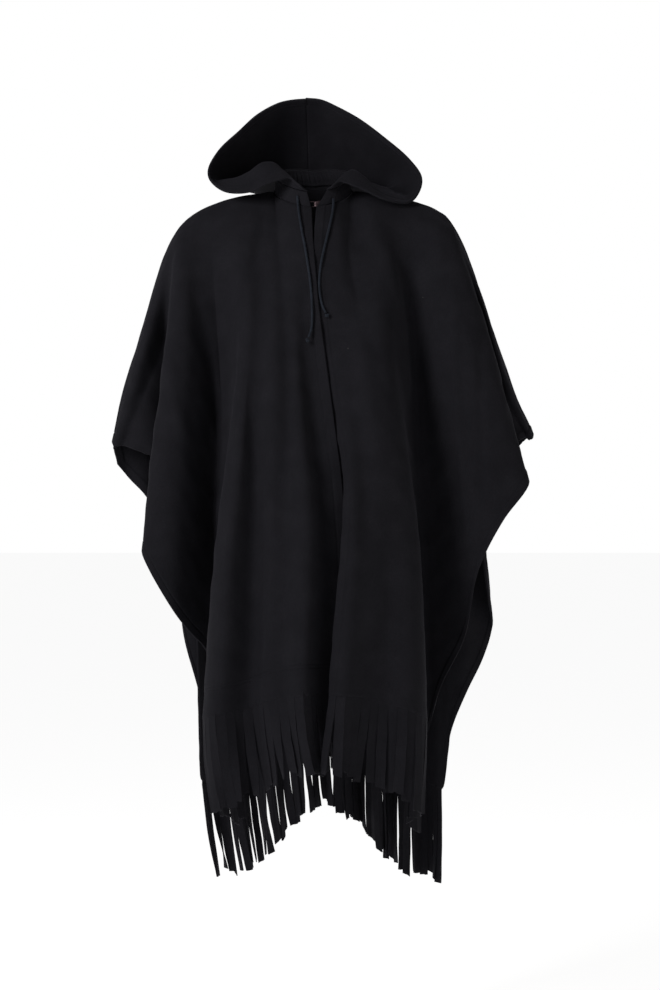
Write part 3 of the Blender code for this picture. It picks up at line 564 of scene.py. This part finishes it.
def soften(values, passes=2):
    """Averages a grid with its neighbours."""
    for turn in range(passes):
        padded = np.pad(values, ((1, 1), (1, 1), (0, 0)), mode="edge")
        values = (padded[:-2, 1:-1] + padded[2:, 1:-1] + padded[1:-1, :-2] + padded[1:-1, 2:]
                  + 4 * padded[1:-1, 1:-1]) / 8
    return values


def bell(x):
    return np.exp(-x * x)


def swells(grid):
    """Small unevenness of the hanging cloth, in three directions of space."""
    height = np.zeros(grid.shape[:2])
    for length, degrees, phase, size in SWELLS:
        angle = math.radians(degrees)
        run = grid[..., 0] * math.cos(angle) + grid[..., 2] * math.sin(angle)
        run = run + SWELL_SKEW * grid[..., 1]
        height += size * np.sin(run * 2 * math.pi / length + phase)
    return height


def creases(table, across, down, width):
    """Height of the soft creases over a panel; across and down are shares of it."""
    height = np.zeros(across.shape)
    for place, top, bottom, drift, wide, size in table:
        share = (down - top) / (bottom - top)
        inside = np.clip(np.minimum(share, 1 - share) / CREASE_ENDS, 0, 1)
        centre = place + drift * (share - .5)
        fade = inside ** 2 * (3 - 2 * inside)
        height += size * bell((across - centre) * width / wide) * fade
    return height


def hem_profile(distance):
    """Extra thickness inside a turned hem, and the dip along its stitch line."""
    turned = ease(HEM + HEM_STEP[0] - distance, HEM_STEP[1])
    dip = GROOVE * bell((distance - HEM) / GROOVE_WIDTH)
    return HEM_FOLD * turned, dip


def add_object(name, data, place=(0, 0, 0), turn=(0, 0, 0)):
    thing = bpy.data.objects.new(name, data)
    bpy.context.scene.collection.objects.link(thing)
    thing.location = place
    thing.rotation_euler = turn
    return thing


def add_mesh(name, places, faces, shader, smooth=True):
    mesh = bpy.data.meshes.new(name)
    mesh.from_pydata([tuple(place) for place in places], [], faces)
    mesh.validate()
    mesh.materials.append(shader)
    if smooth:
        mesh.shade_smooth()
    return add_object(name, mesh)


def wall(rows, columns, start=0):
    """Faces of both sides of a wall, and the places around its border."""
    faces = []
    far = rows * columns
    for i in range(rows - 1):
        for j in range(columns - 1):
            a = start + i * columns + j
            b, c, d = a + 1, a + columns + 1, a + columns
            faces.append((a, d, c, b))
            faces.append((a + far, b + far, c + far, d + far))
    border = [(0, j) for j in range(columns - 1)]
    border += [(i, columns - 1) for i in range(rows - 1)]
    border += [(rows - 1, j) for j in range(columns - 1, 0, -1)]
    border += [(i, 0) for i in range(rows - 1, 0, -1)]
    return faces, border


def shell(name, grid, normals, outer, inner, shader):
    """A closed cloth wall: outer and inner are its faces' heights over a grid."""
    rows, columns = grid.shape[:2]
    front = grid + normals * outer[..., None]
    back = grid + normals * inner[..., None]
    faces, border = wall(rows, columns)
    middle = (front + back) / 2
    rim = []
    for i, j in border:
        inward = middle[min(max(i, 1), rows - 2), min(max(j, 1), columns - 2)]
        outward = unit(middle[i, j] - inward)
        half = np.linalg.norm(front[i, j] - back[i, j]) / 2
        rim.append(middle[i, j] + outward * half * EDGE_BULGE)
    far = rows * columns
    edge = [i * columns + j for i, j in border]
    for k, (a, b) in enumerate(zip(edge, edge[1:] + edge[:1])):
        c, d = 2 * far + k, 2 * far + (k + 1) % len(edge)
        faces.append((a, b, d, c))
        faces.append((c, d, b + far, a + far))
    places = np.concatenate((front.reshape(-1, 3), back.reshape(-1, 3), np.array(rim)))
    return add_mesh(name, places, faces, shader)


def make_panel(name, rows, facing, table, hem_start, hem_end, columns, lines, shader):
    """One panel of the cape down to its uncut edge, and the frames along its hem that the fringe
    hangs from.
    """
    panel = Panel(rows, facing)
    across = np.linspace(0, panel.knots[-1], columns)
    grid = panel.at(across, np.linspace(0, 1, lines))
    grid = relay(grid, NEAR_EDGE, NEAR_EDGE, columns)
    grid = relay(grid.transpose(1, 0, 2), (0,), NEAR_HEM, lines).transpose(1, 0, 2)
    share_across, share_down, from_top = grid_shares(grid)
    from_start = run_along(grid, 1)
    to_bottom = from_top[-1:] - from_top
    to_end = from_start[:, -1:] - from_start
    first = panel.knot(hem_start) / panel.knots[-1]
    last = panel.knot(hem_end) / panel.knots[-1]
    beside = np.maximum(first - share_across, share_across - last)
    to_side = np.where(beside > 0, to_bottom, 1.0)
    distance = np.minimum(np.minimum(from_start, to_end), to_side)
    height = creases(table, share_across, share_down, panel.knots[-1])
    for reach, room in zip((distance, from_top, to_bottom), CREASE_ROOM):
        height = height * ease(reach, room)
    height += swells(grid) * ease(from_top, SWELL_ROOM[0]) * ease(to_bottom, SWELL_ROOM[1])
    grid = grid + grid_normals(grid) * height[..., None]
    normals = soften(grid_normals(grid))
    flat = np.abs(grid[0, :, 0] - NECK_X) >= NECK_HALF
    normals[0, flat, 1] = 0
    normals = unit(normals)
    turned, dip = hem_profile(distance)
    for rise in BAND_LINES:
        dip = dip + GROOVE * bell((to_bottom - rise) / GROOVE_WIDTH) * (beside < 0)
    ends = np.clip(-beside[-1] * panel.knots[-1] / RUN_ON[0], RUN_ON[1], 1) * (SEAM + ROOT)
    onward = unit(grid[-1] - grid[-4])
    for turn in range(2):
        grid = np.concatenate((grid, (grid[-1] + onward * ends[:, None] / 2)[None]))
    normals, turned, dip = (np.concatenate((part, part[-1:], part[-1:]))
                            for part in (normals, turned, dip))
    outer = CLOTH / 2 - dip
    outer[-2:] *= STRIP_THICK
    made = shell(name, grid, normals, outer, -CLOTH / 2 - turned, shader)
    cuts = panel.hem_cuts(hem_start, hem_end)
    hem = panel.at(cuts, (HEM_FROM, 1.0))
    down = unit(hem[1] - hem[0])
    side = unit(np.gradient(hem[1], axis=0))
    out = unit(np.cross(side, down))
    return made, (hem[1], down, out)


def strip_length(place):
    across = [row[0] for row in STRIP_LENGTHS]
    column = 1 if place[1] < 0 else 2
    lengths = [row[column] for row in STRIP_LENGTHS]
    return spline(across, lengths, min(abs(place[0]), across[-1]))[0]


STRIP_LINES = 14
STRIP_COLUMNS = 4
STRIP_THICK = .85  # thickness of a strip, as a part of the cloth's
STRIP_TWIST = .42  # largest turn of a strip on its way down, in radians
STRIP_TURNED = (.16, 1.15)  # this share of the strips hangs turned by this much
STRIP_BOW = .005  # largest bow of a strip, in or out
BOW_TURN = .9 * math.pi  # the bow's wave from its root to its tip
STRIP_SHIFT = .0065  # largest sideways bend
STRIP_WIDEN = (.0002, .5)  # a strip spreads by this, over this part of its length
STRIP_LAP = (-.0003, .0015)  # every second strip hangs in front of the next
LAP_RISE = .4  # it comes forward over this part of its length
STRIP_ROOT = .003  # a strip starts this far up inside the uncut edge
RAGGED = .0009  # unevenness of the cut ends
SLANT = 1.5  # a cut end slants by up to this many times as much
CUT_WAVE = (.00035, 19, .25)  # unevenness of the cut sides, its rate, and where it is full
CURL = (.0006, .4)  # a strip is hollow by up to this, and how far its middle shifts
WAVE_TURN = 6.28  # the waves start anywhere in a full turn


def make_fringe(name, frames, leans, seed, shader):
    """Cut strips below a hem, each of them hanging in its own way."""
    chance = np.random.default_rng(seed)
    hem, down, out = frames
    places, faces = [], []

    def add_wall(grid, normals, thickness):
        rows, columns = grid.shape[:2]
        start, far = len(places), rows * columns
        for side in (1, -1):
            places.extend((grid + normals * side * thickness / 2).reshape(-1, 3))
        sides, border = wall(rows, columns, start)
        faces.extend(sides)
        edge = [start + i * columns + j for i, j in border]
        for a, b in zip(edge, edge[1:] + edge[:1]):
            faces.append((a, b, b + far, a + far))

    band = np.array([hem + down * SEAM, hem + down * (SEAM + ROOT)])
    add_wall(band, np.array([out, out]), CLOTH / 2)
    for k in range(len(hem) - 1):
        left, right = hem[k], hem[k + 1]
        place = (left + right) / 2
        fall = unit(down[k] + down[k + 1])
        face = unit(out[k] + out[k + 1])
        chord = np.linalg.norm(right - left)
        uneven = sum(size * math.sin(rate * k) for size, rate in UNEVEN)
        length = strip_length(place) * (1 + uneven)
        lean = leans[0] + (leans[1] - leans[0]) * k / (len(hem) - 2)
        plumb = unit(np.array((lean, WANDER[0] * math.sin(WANDER[1] * k), -1)))
        first = place + fall * (SEAM + ROOT - STRIP_ROOT)
        middle = first + (fall + (plumb - fall) * FIRST_TURN) * length / 2
        tip = middle + plumb * length / 2
        steps = np.linspace(0, 1, STRIP_LINES)
        line = spline((0, .5, 1), np.array((first, middle, tip)), steps, (middle - first) * 2)
        twist = chance.uniform(-STRIP_TWIST, STRIP_TWIST)
        if chance.random() < STRIP_TURNED[0]:
            twist = math.copysign(STRIP_TURNED[1], twist)
        bow = chance.uniform(-STRIP_BOW, STRIP_BOW)
        shift = chance.uniform(-STRIP_SHIFT, STRIP_SHIFT)
        ends = chance.uniform(-RAGGED, RAGGED, STRIP_COLUMNS + 1)
        slant = chance.uniform(-SLANT, SLANT) * RAGGED
        phase = chance.uniform(0, WAVE_TURN, 4)
        lap = STRIP_LAP[k % 2]
        across = unit(right - left)
        grid = np.zeros((STRIP_LINES, STRIP_COLUMNS + 1, 3))
        normals = np.zeros_like(grid)
        for i, t in enumerate(steps):
            turn = twist * t * t
            out_now = unit(np.cross(across, unit(plumb)))
            if out_now @ face < 0:
                out_now = -out_now
            wide = across * math.cos(turn) + out_now * math.sin(turn)
            front = out_now * math.cos(turn) - across * math.sin(turn)
            depth = bow * math.sin(BOW_TURN * t) * t + lap * min(1, t / LAP_RISE)
            centre = line[i] + out_now * depth + across * shift * t * t
            half = (chord + STRIP_WIDEN[0] * min(1, t / STRIP_WIDEN[1])) / 2
            for j in range(STRIP_COLUMNS + 1):
                s = 2 * j / STRIP_COLUMNS - 1
                wave = .0
                if j in (0, STRIP_COLUMNS):
                    wave = CUT_WAVE[0] * math.sin(t * CUT_WAVE[1] + phase[0 if j == 0 else 1])
                    wave *= min(1, t / CUT_WAVE[2])
                curl = front * CURL[0] * t * (s * s - CURL[1]) * math.sin(phase[2])
                grid[i, j] = centre + wide * (half * s + wave) + curl
                normals[i, j] = front
        grid[-1] += plumb * (ends + slant * np.linspace(-1, 1, STRIP_COLUMNS + 1))[:, None]
        add_wall(grid, normals, CLOTH * STRIP_THICK)
    return add_mesh(name, places, faces, shader, False)


def hood_lines(rows, steps, side):
    """Places on a hood half, from the rim to the neck and round to the crown."""
    bow = 4 * steps * (1 - steps)
    lines, knots = [], [.0]
    for row in rows:
        name, rim_x, rim_y, rim_z, degrees, out, back, lift, sag = row
        rim = np.array((rim_x, rim_y, rim_z))
        neck = neck_point(degrees, CASING + CLOTH / 2 + SEAM + HOOD_EASE, CASING_LEAN)
        line = rim + (neck - rim) * steps[:, None]
        line[:, 0] += math.copysign(out, degrees) * bow
        line[:, 1] += back * bow
        line[:, 2] += lift * bow - sag * bow * bow
        lines.append(line)
    for one, two in zip(lines, lines[1:]):
        knots.append(knots[-1] + HOOD_PITCH[0] * np.linalg.norm(one[0] - two[0]) + HOOD_PITCH[1])
    places = np.linspace(0, knots[-1], HOOD_COLUMNS)
    grid = spline(knots, np.array(lines), places).transpose(1, 0, 2)
    grid[:, -1, 0] += side * SEAM / 2
    return grid


HOOD_LINES = 60  # places from the rim to the neck
HOOD_COLUMNS = 90  # and from the front corner to the crown
HOOD_CREASES = (
    # across from the corner, from the rim, reach across, reach down, height
    (.22, .55, .05, .3, -.002),
    (.34, .5, .04, .35, .0022),
    (.46, .6, .05, .3, -.0022),
    (.6, .35, .05, .3, .002),
    (.72, .55, .06, .3, -.0024),
    (.85, .4, .05, .35, .002),
)
HOOD_ROOM = (.03, .06)  # they fade near rim and neck, and over this share at the crown
HOOD_HEM_ROOM = .05  # the turned hem is full where the hood is deeper than this


def make_hood(name, rows, side, shader):
    """One half of the hood, with a turned hem on its rim."""
    grid = hood_lines(rows, np.linspace(0, 1, HOOD_LINES), side)
    grid = relay(grid.transpose(1, 0, 2), NEAR_EDGE, (0,), HOOD_LINES).transpose(1, 0, 2)
    share_across, share_down, from_rim = grid_shares(grid)
    height = swells(grid)
    for across, down, wide, deep, size in HOOD_CREASES:
        height += size * bell((share_across - across) / wide) * bell((share_down - down) / deep)
    to_edge = np.minimum(from_rim, from_rim[-1:] - from_rim)
    height = height * ease(to_edge, HOOD_ROOM[0]) * ease(1 - share_across, HOOD_ROOM[1])
    grid = grid + grid_normals(grid) * height[..., None]
    normals = soften(grid_normals(grid))
    normals[:, -1, 0] = 0
    normals = unit(normals)
    turned, dip = hem_profile(from_rim)
    turned = turned * ease(from_rim[-1:], HOOD_HEM_ROOM)
    return shell(name, grid, normals, CLOTH / 2 - dip, -CLOTH / 2 - turned, shader)


CASING_LINES = 15
CASING_COLUMNS = 320
CASING_RUN = .37  # length of the band around the neck
CASING_GATHERS = (
    # height, waves around the neck, phase
    (.00045, 47, .3),
    (.00035, 79, 1.9),
    (.0002, 113, 4.4),
)
GATHER_LEAN = 1.3  # the gathers lean by this phase from foot to top
GATHER_ENDS = .7  # and keep their height up to near the seams
CASING_SWELL = .0016  # the casing is fuller by this where the cord runs
CASING_SIDES = (.8, .5)  # of which this part shows outside, and this inside
CASING_FOOT = (.0016, 4)  # its foot is thicker by this, and how fast that fades
CASING_FLAT = .035  # it is flatter over this length at each of its ends
CASING_END = .3  # down to this part of its relief
CASING_GROOVE = .0005  # depth of its two stitch lines
CASING_SEAMS = (.2, .8, .05)  # shares up the band, and half their width


def make_casing(shader):
    """The gathered band around the neck that the drawcord runs in."""
    grid = []
    for rise in np.linspace(CLOTH / 2 + SEAM, CASING, CASING_LINES):
        share = rise / CASING
        first, last = (ends[0] * (1 - share) + ends[1] * share
                       for ends in (CASING_ENDS["right"], CASING_ENDS["left"]))
        turns = first - (first + 360 - last) * np.linspace(0, 1, CASING_COLUMNS)
        grid.append([neck_point(turn % 360, rise, CASING_LEAN * share) for turn in turns])
    grid = np.array(grid)
    shares = np.linspace(0, 1, CASING_LINES)[:, None]
    run = np.linspace(0, 1, CASING_COLUMNS)[None, :]
    arch = np.sin(math.pi * shares)
    height = CASING_SWELL * arch ** 2 * np.ones_like(run)
    for size, waves, phase in CASING_GATHERS:
        turns = run * waves * 2 * math.pi + phase + GATHER_LEAN * shares
        height = height + size * arch ** GATHER_ENDS * np.sin(turns)
    to_end = ease(np.minimum(run, 1 - run) * CASING_RUN, CASING_FLAT)
    relief = CASING_END + (1 - CASING_END) * to_end
    dips = CASING_GROOVE * sum(bell((shares - seam) / CASING_SEAMS[2]) for seam in CASING_SEAMS[:2])
    foot = CASING_FOOT[0] * (1 - shares) ** CASING_FOOT[1]
    outer = CLOTH / 2 + height * CASING_SIDES[0] * relief + foot - dips
    inner = -CLOTH / 2 - height * CASING_SIDES[1] * to_end
    return shell("neck_casing_cloth", grid, grid_normals(grid), outer, inner, shader)


def ring_frames(places):
    """Directions across a cord at each of its places, with no twist."""
    ahead = unit(np.gradient(places, axis=0))
    side = unit(np.cross(ahead[0], np.array(CORD_FACE)))
    sides = []
    for direction in ahead:
        side = unit(side - direction * (side @ direction))
        sides.append(side)
    sides = np.array(sides)
    return sides, np.cross(ahead, sides)


def tube(name, places, radius, shader, braid=True, closed=False):
    """A round cord through places, with the relief of its crossing strands."""
    sides, others = ring_frames(places)
    angles = np.linspace(0, 2 * math.pi, CORD_SIDES, endpoint=False)
    runs = runs_of(places)
    points = []
    for k, place in enumerate(places):
        swell = np.zeros(CORD_SIDES)
        if braid:
            depth, pitch, strands = CORD_BRAID
            turn = runs[k] / pitch * 2 * math.pi
            swell = depth * np.maximum(np.sin(strands * angles + turn),
                                       np.sin(strands * angles - turn)) - depth
        reach = radius + swell
        points.append(place + sides[k] * (reach * np.cos(angles))[:, None]
                      + others[k] * (reach * np.sin(angles))[:, None])
    count = len(places)
    faces = []
    for k in range(count if closed else count - 1):
        for j in range(CORD_SIDES):
            a = k * CORD_SIDES + j
            b = k * CORD_SIDES + (j + 1) % CORD_SIDES
            c = (k + 1) % count * CORD_SIDES + (j + 1) % CORD_SIDES
            d = (k + 1) % count * CORD_SIDES + j
            faces.append((a, b, c, d))
    points = np.array(points).reshape(-1, 3)
    if not closed:
        faces.append(tuple(range(CORD_SIDES - 1, -1, -1)))
        faces.append(tuple(range((count - 1) * CORD_SIDES, count * CORD_SIDES)))
    return add_mesh(name, points, faces, shader)


def make_cord(side, route, shader):
    """A free cord end and the overhand knot at its foot."""
    points = np.array(route)
    knots = runs_of(points)
    count = round(knots[-1] / CORD_STEP)
    places = spline(knots, points, np.linspace(0, knots[-1], count + 1))
    length = float(runs_of(places)[-1])
    piece = tube("drawcord_" + side + "_braid", places, CORD_RADIUS, shader)
    ahead = Vector(places[-1] - places[-2]).normalized()
    turn = np.array(Vector((0, 0, -1)).rotation_difference(ahead).to_matrix())
    t = np.linspace(0, 2 * math.pi, KNOT_STEPS, endpoint=False)
    high, deep = KNOT_SHAPE
    loop = np.stack((np.sin(t) + 2 * np.sin(2 * t), -deep * np.sin(3 * t),
                     high * (np.cos(t) - 2 * np.cos(2 * t))), 1) * KNOT_SIZE / KNOT_REACH
    centre = places[-1] + np.array(ahead) * KNOT_DROP
    knot = tube("knot_" + side + "_loop", loop @ turn.T + centre, KNOT_CORD, shader, False, True)
    return piece, knot, places, length


# Looks: noise is scale, detail and roughness, finish is what the shader is set to
WOOL_FINE = (1500, 5, .65)
WOOL_NAP = (420, 6, .7)
WOOL_CLOUD = (26, 3, .55)
WOOL_SHARES = (.6, .4)  # of nap and clouds in the colour
WOOL_FUZZ = .45  # share of the fine noise in the relief
WOOL_BUMP = (.55, .0008)
WOOL_COLOURS = (
    (.3, (.0052, .005, .0066)),
    (.52, (.0078, .0075, .0096)),
    (.75, (.012, .0115, .0143)),
)
WOOL_FINISH = {
    "Roughness": .93, "Specular IOR Level": .1, "Sheen Weight": .025,
    "Sheen Roughness": .42, "Sheen Tint": (.82, .8, 1.0, 1),
}
LINT = (42, .03, .93)  # cells in a metre, size in a cell, share of bare cells
LINT_COLOUR = (.06, .058, .056, 1)
CORD_YARN = (1900, 4, .6)
CORD_PATCH = (160, 3, .5)
CORD_BUMP = (.5, .0004)
CORD_COLOURS = ((.32, (.005, .0066, .01)), (.66, (.012, .0152, .0225)))
CORD_FINISH = {
    "Roughness": .78, "Specular IOR Level": .15, "Sheen Weight": .03, "Sheen Roughness": .35,
}
METAL_WORN = (620, 4, .6)
METAL_BUMP = (.25, .0002)
METAL_COLOURS = ((.35, (.034, .022, .024)), (.7, (.095, .066, .072)))
METAL_ROUGHNESS = ((.3, (.62, .62, .62)), (.8, (.42, .42, .42)))
METAL_FINISH = {"Metallic": .9}
FLOOR_FINISH = {
    "Base Color": (.75, .75, .75, 1), "Roughness": 1.0, "Specular IOR Level": .0,
    "Emission Color": WHITE, "Emission Strength": .9,
}


def fill(tree, node, inputs):
    """Sets a node's inputs, by name or number, to values or to other nodes' outputs."""
    for key, value in inputs.items():
        if isinstance(value, bpy.types.NodeSocket):
            tree.links.new(value, node.inputs[key])
        else:
            node.inputs[key].default_value = value


def add_node(tree, kind, inputs, **settings):
    """The outputs of a new shader node."""
    node = tree.nodes.new("ShaderNode" + kind)
    for key, value in settings.items():
        setattr(node, key, value)
    fill(tree, node, inputs)
    return node.outputs


def new_material(name, finish):
    """A material with its node tree and its shader."""
    made = bpy.data.materials.new(name)
    made.use_nodes = True
    shader = made.node_tree.nodes["Principled BSDF"]
    fill(made.node_tree, shader, finish)
    return made, made.node_tree, shader


def object_place(tree):
    return add_node(tree, "TexCoord", {})["Object"]


def noise(tree, place, look):
    inputs = {"Vector": place, "Scale": look[0], "Detail": look[1], "Roughness": look[2]}
    return add_node(tree, "TexNoise", inputs)["Fac"]


def ramp(tree, value, stops):
    node = tree.nodes.new("ShaderNodeValToRGB")
    while len(node.color_ramp.elements) < len(stops):
        node.color_ramp.elements.new(.5)
    for element, (position, colour) in zip(node.color_ramp.elements, stops):
        element.position = position
        element.color = (*colour, 1)
    fill(tree, node, {"Fac": value})
    return node.outputs["Color"]


def calculate(tree, kind, one, two):
    return add_node(tree, "Math", {0: one, 1: two}, operation=kind)[0]


def bump(tree, height, look):
    inputs = {"Height": height, "Strength": look[0], "Distance": look[1]}
    return add_node(tree, "Bump", inputs)["Normal"]


def wool_material():
    """Thick black melton: a felted nap, faint clouds of it, and a few light specks."""
    made, tree, shader = new_material("black_wool", WOOL_FINISH)
    place = object_place(tree)
    fine, nap, cloud = (noise(tree, place, look) for look in (WOOL_FINE, WOOL_NAP, WOOL_CLOUD))
    both = calculate(tree, "ADD", calculate(tree, "MULTIPLY", nap, WOOL_SHARES[0]),
                     calculate(tree, "MULTIPLY", cloud, WOOL_SHARES[1]))
    specks = add_node(tree, "TexVoronoi", {"Vector": place, "Scale": LINT[0]})
    chosen = add_node(tree, "SeparateColor", {0: specks["Color"]})[0]
    lint = calculate(tree, "MULTIPLY", calculate(tree, "LESS_THAN", specks["Distance"], LINT[1]),
                     calculate(tree, "GREATER_THAN", chosen, LINT[2]))
    colours = {0: lint, 6: ramp(tree, both, WOOL_COLOURS), 7: LINT_COLOUR}
    height = calculate(tree, "ADD", calculate(tree, "MULTIPLY", fine, WOOL_FUZZ), nap)
    fill(tree, shader, {"Base Color": add_node(tree, "Mix", colours, data_type="RGBA")[2],
                        "Normal": bump(tree, height, WOOL_BUMP)})
    return made


def cord_material():
    """Dark navy cord of fine braided yarn."""
    made, tree, shader = new_material("navy_cord", CORD_FINISH)
    place = object_place(tree)
    yarn, patch = (noise(tree, place, look) for look in (CORD_YARN, CORD_PATCH))
    both = calculate(tree, "MULTIPLY", calculate(tree, "ADD", yarn, patch), .5)
    fill(tree, shader, {"Base Color": ramp(tree, both, CORD_COLOURS),
                        "Normal": bump(tree, yarn, CORD_BUMP)})
    return made


def metal_material():
    """Brown oxidised metal, worn a little lighter in places."""
    made, tree, shader = new_material("brown_metal", METAL_FINISH)
    worn = noise(tree, object_place(tree), METAL_WORN)
    fill(tree, shader, {"Base Color": ramp(tree, worn, METAL_COLOURS),
                        "Roughness": ramp(tree, worn, METAL_ROUGHNESS),
                        "Normal": bump(tree, worn, METAL_BUMP)})
    return made


def area_light(name, place, target, size, power, colour):
    data = bpy.data.lights.new(name, "AREA")
    data.shape = "RECTANGLE"
    data.size, data.size_y = size
    data.energy = power
    data.color = colour
    turn = (Vector(target) - Vector(place)).to_track_quat("-Z", "Y").to_euler()
    add_object(name, data, place, turn)


def make_view():
    data = bpy.data.cameras.new("camera")
    data.lens = LENS
    data.sensor_width = LONG_SIDE
    data.sensor_height = LONG_SIDE
    data.sensor_fit = "AUTO"
    data.clip_end = FAR_CLIP
    bpy.context.scene.camera = add_object("camera", data, CAMERA, (math.pi / 2, 0, 0))


def make_stage():
    """A plain floor as bright as the room behind it, the room's light and two lamps."""
    corners = [(x * FLOOR_HALF, y * FLOOR_HALF, FLOOR_LEVEL)
               for x, y in ((-1, -1), (1, -1), (1, 1), (-1, 1))]
    pale = new_material("pale_floor", FLOOR_FINISH)[0]
    floor = add_mesh("floor", corners, [(0, 1, 2, 3)], pale, False)
    world = bpy.data.worlds.new("studio")
    bpy.context.scene.world = world
    world.use_nodes = True
    tree = world.node_tree
    fill(tree, tree.nodes["Background"], {"Color": WHITE, "Strength": 1.0})
    shown = tree.nodes["Background"].outputs[0]
    lit = add_node(tree, "Background", {"Color": WHITE, "Strength": AMBIENT})[0]
    seen = add_node(tree, "LightPath", {})["Is Camera Ray"]
    either = add_node(tree, "MixShader", {0: seen, 1: lit, 2: shown})[0]
    fill(tree, tree.nodes["World Output"], {"Surface": either})
    for light in LIGHTS:
        area_light(*light)


PANELS = (
    # node, folds, facing, creases, hem from, hem to, columns, flat size
    ("front_right", FRONT_RIGHT, -1, CREASES_RIGHT, "opening edge", "hem corner", 120, (.56, .8)),
    ("front_left", FRONT_LEFT, -1, CREASES_LEFT, "opening edge", "hem corner", 110, (.52, .8)),
    ("back", BACK, 1, CREASES_BACK, "right hem corner", "left hem corner", 230, (1.16, .9)),
)
PANEL_LINES = 120
HOODS = (("right", HOOD_RIGHT, -1), ("left", HOOD_LEFT, 1))
SEEDS = (11, 12, 13)  # of the chance in each panel's fringe


def add_piece(piece, slot, *nodes):
    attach(piece, "root")
    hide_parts(*nodes)


def main():
    bpy.context.scene.view_settings.view_transform = "Standard"
    make_view()
    make_stage()
    wool = wool_material()
    cord = cord_material()
    metal = metal_material()

    for side, route in (("right", CORD_RIGHT), ("left", CORD_LEFT)):
        piece, knot, path, length = make_cord(side, route, cord)
        add_piece(piece, "cord", "drawcord_" + side)
        add_piece(knot, "cord", "knot_" + side)

    for seed, (node, rows, facing, table, start, end, columns, flat) in zip(SEEDS, PANELS):
        piece, hem = make_panel(node + "_cloth", rows, facing, table, start, end,
                                columns, PANEL_LINES, wool)
        add_piece(piece, "wool", node)
        fringe = make_fringe("fringe_" + node + "_strips", hem, LEANS[node], seed, wool)
        add_piece(fringe, "wool", "fringe_" + node)
    for side, rows, facing in HOODS:
        piece = make_hood("hood_" + side + "_cloth", rows, facing, wool)
        add_piece(piece, "wool", "hood_" + side)
    add_piece(make_casing(wool), "wool", "neck_casing")
    for node in ("hook", "eye"):
        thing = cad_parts[node]
        thing.data.materials.clear()
        thing.data.materials.append(metal)


main()
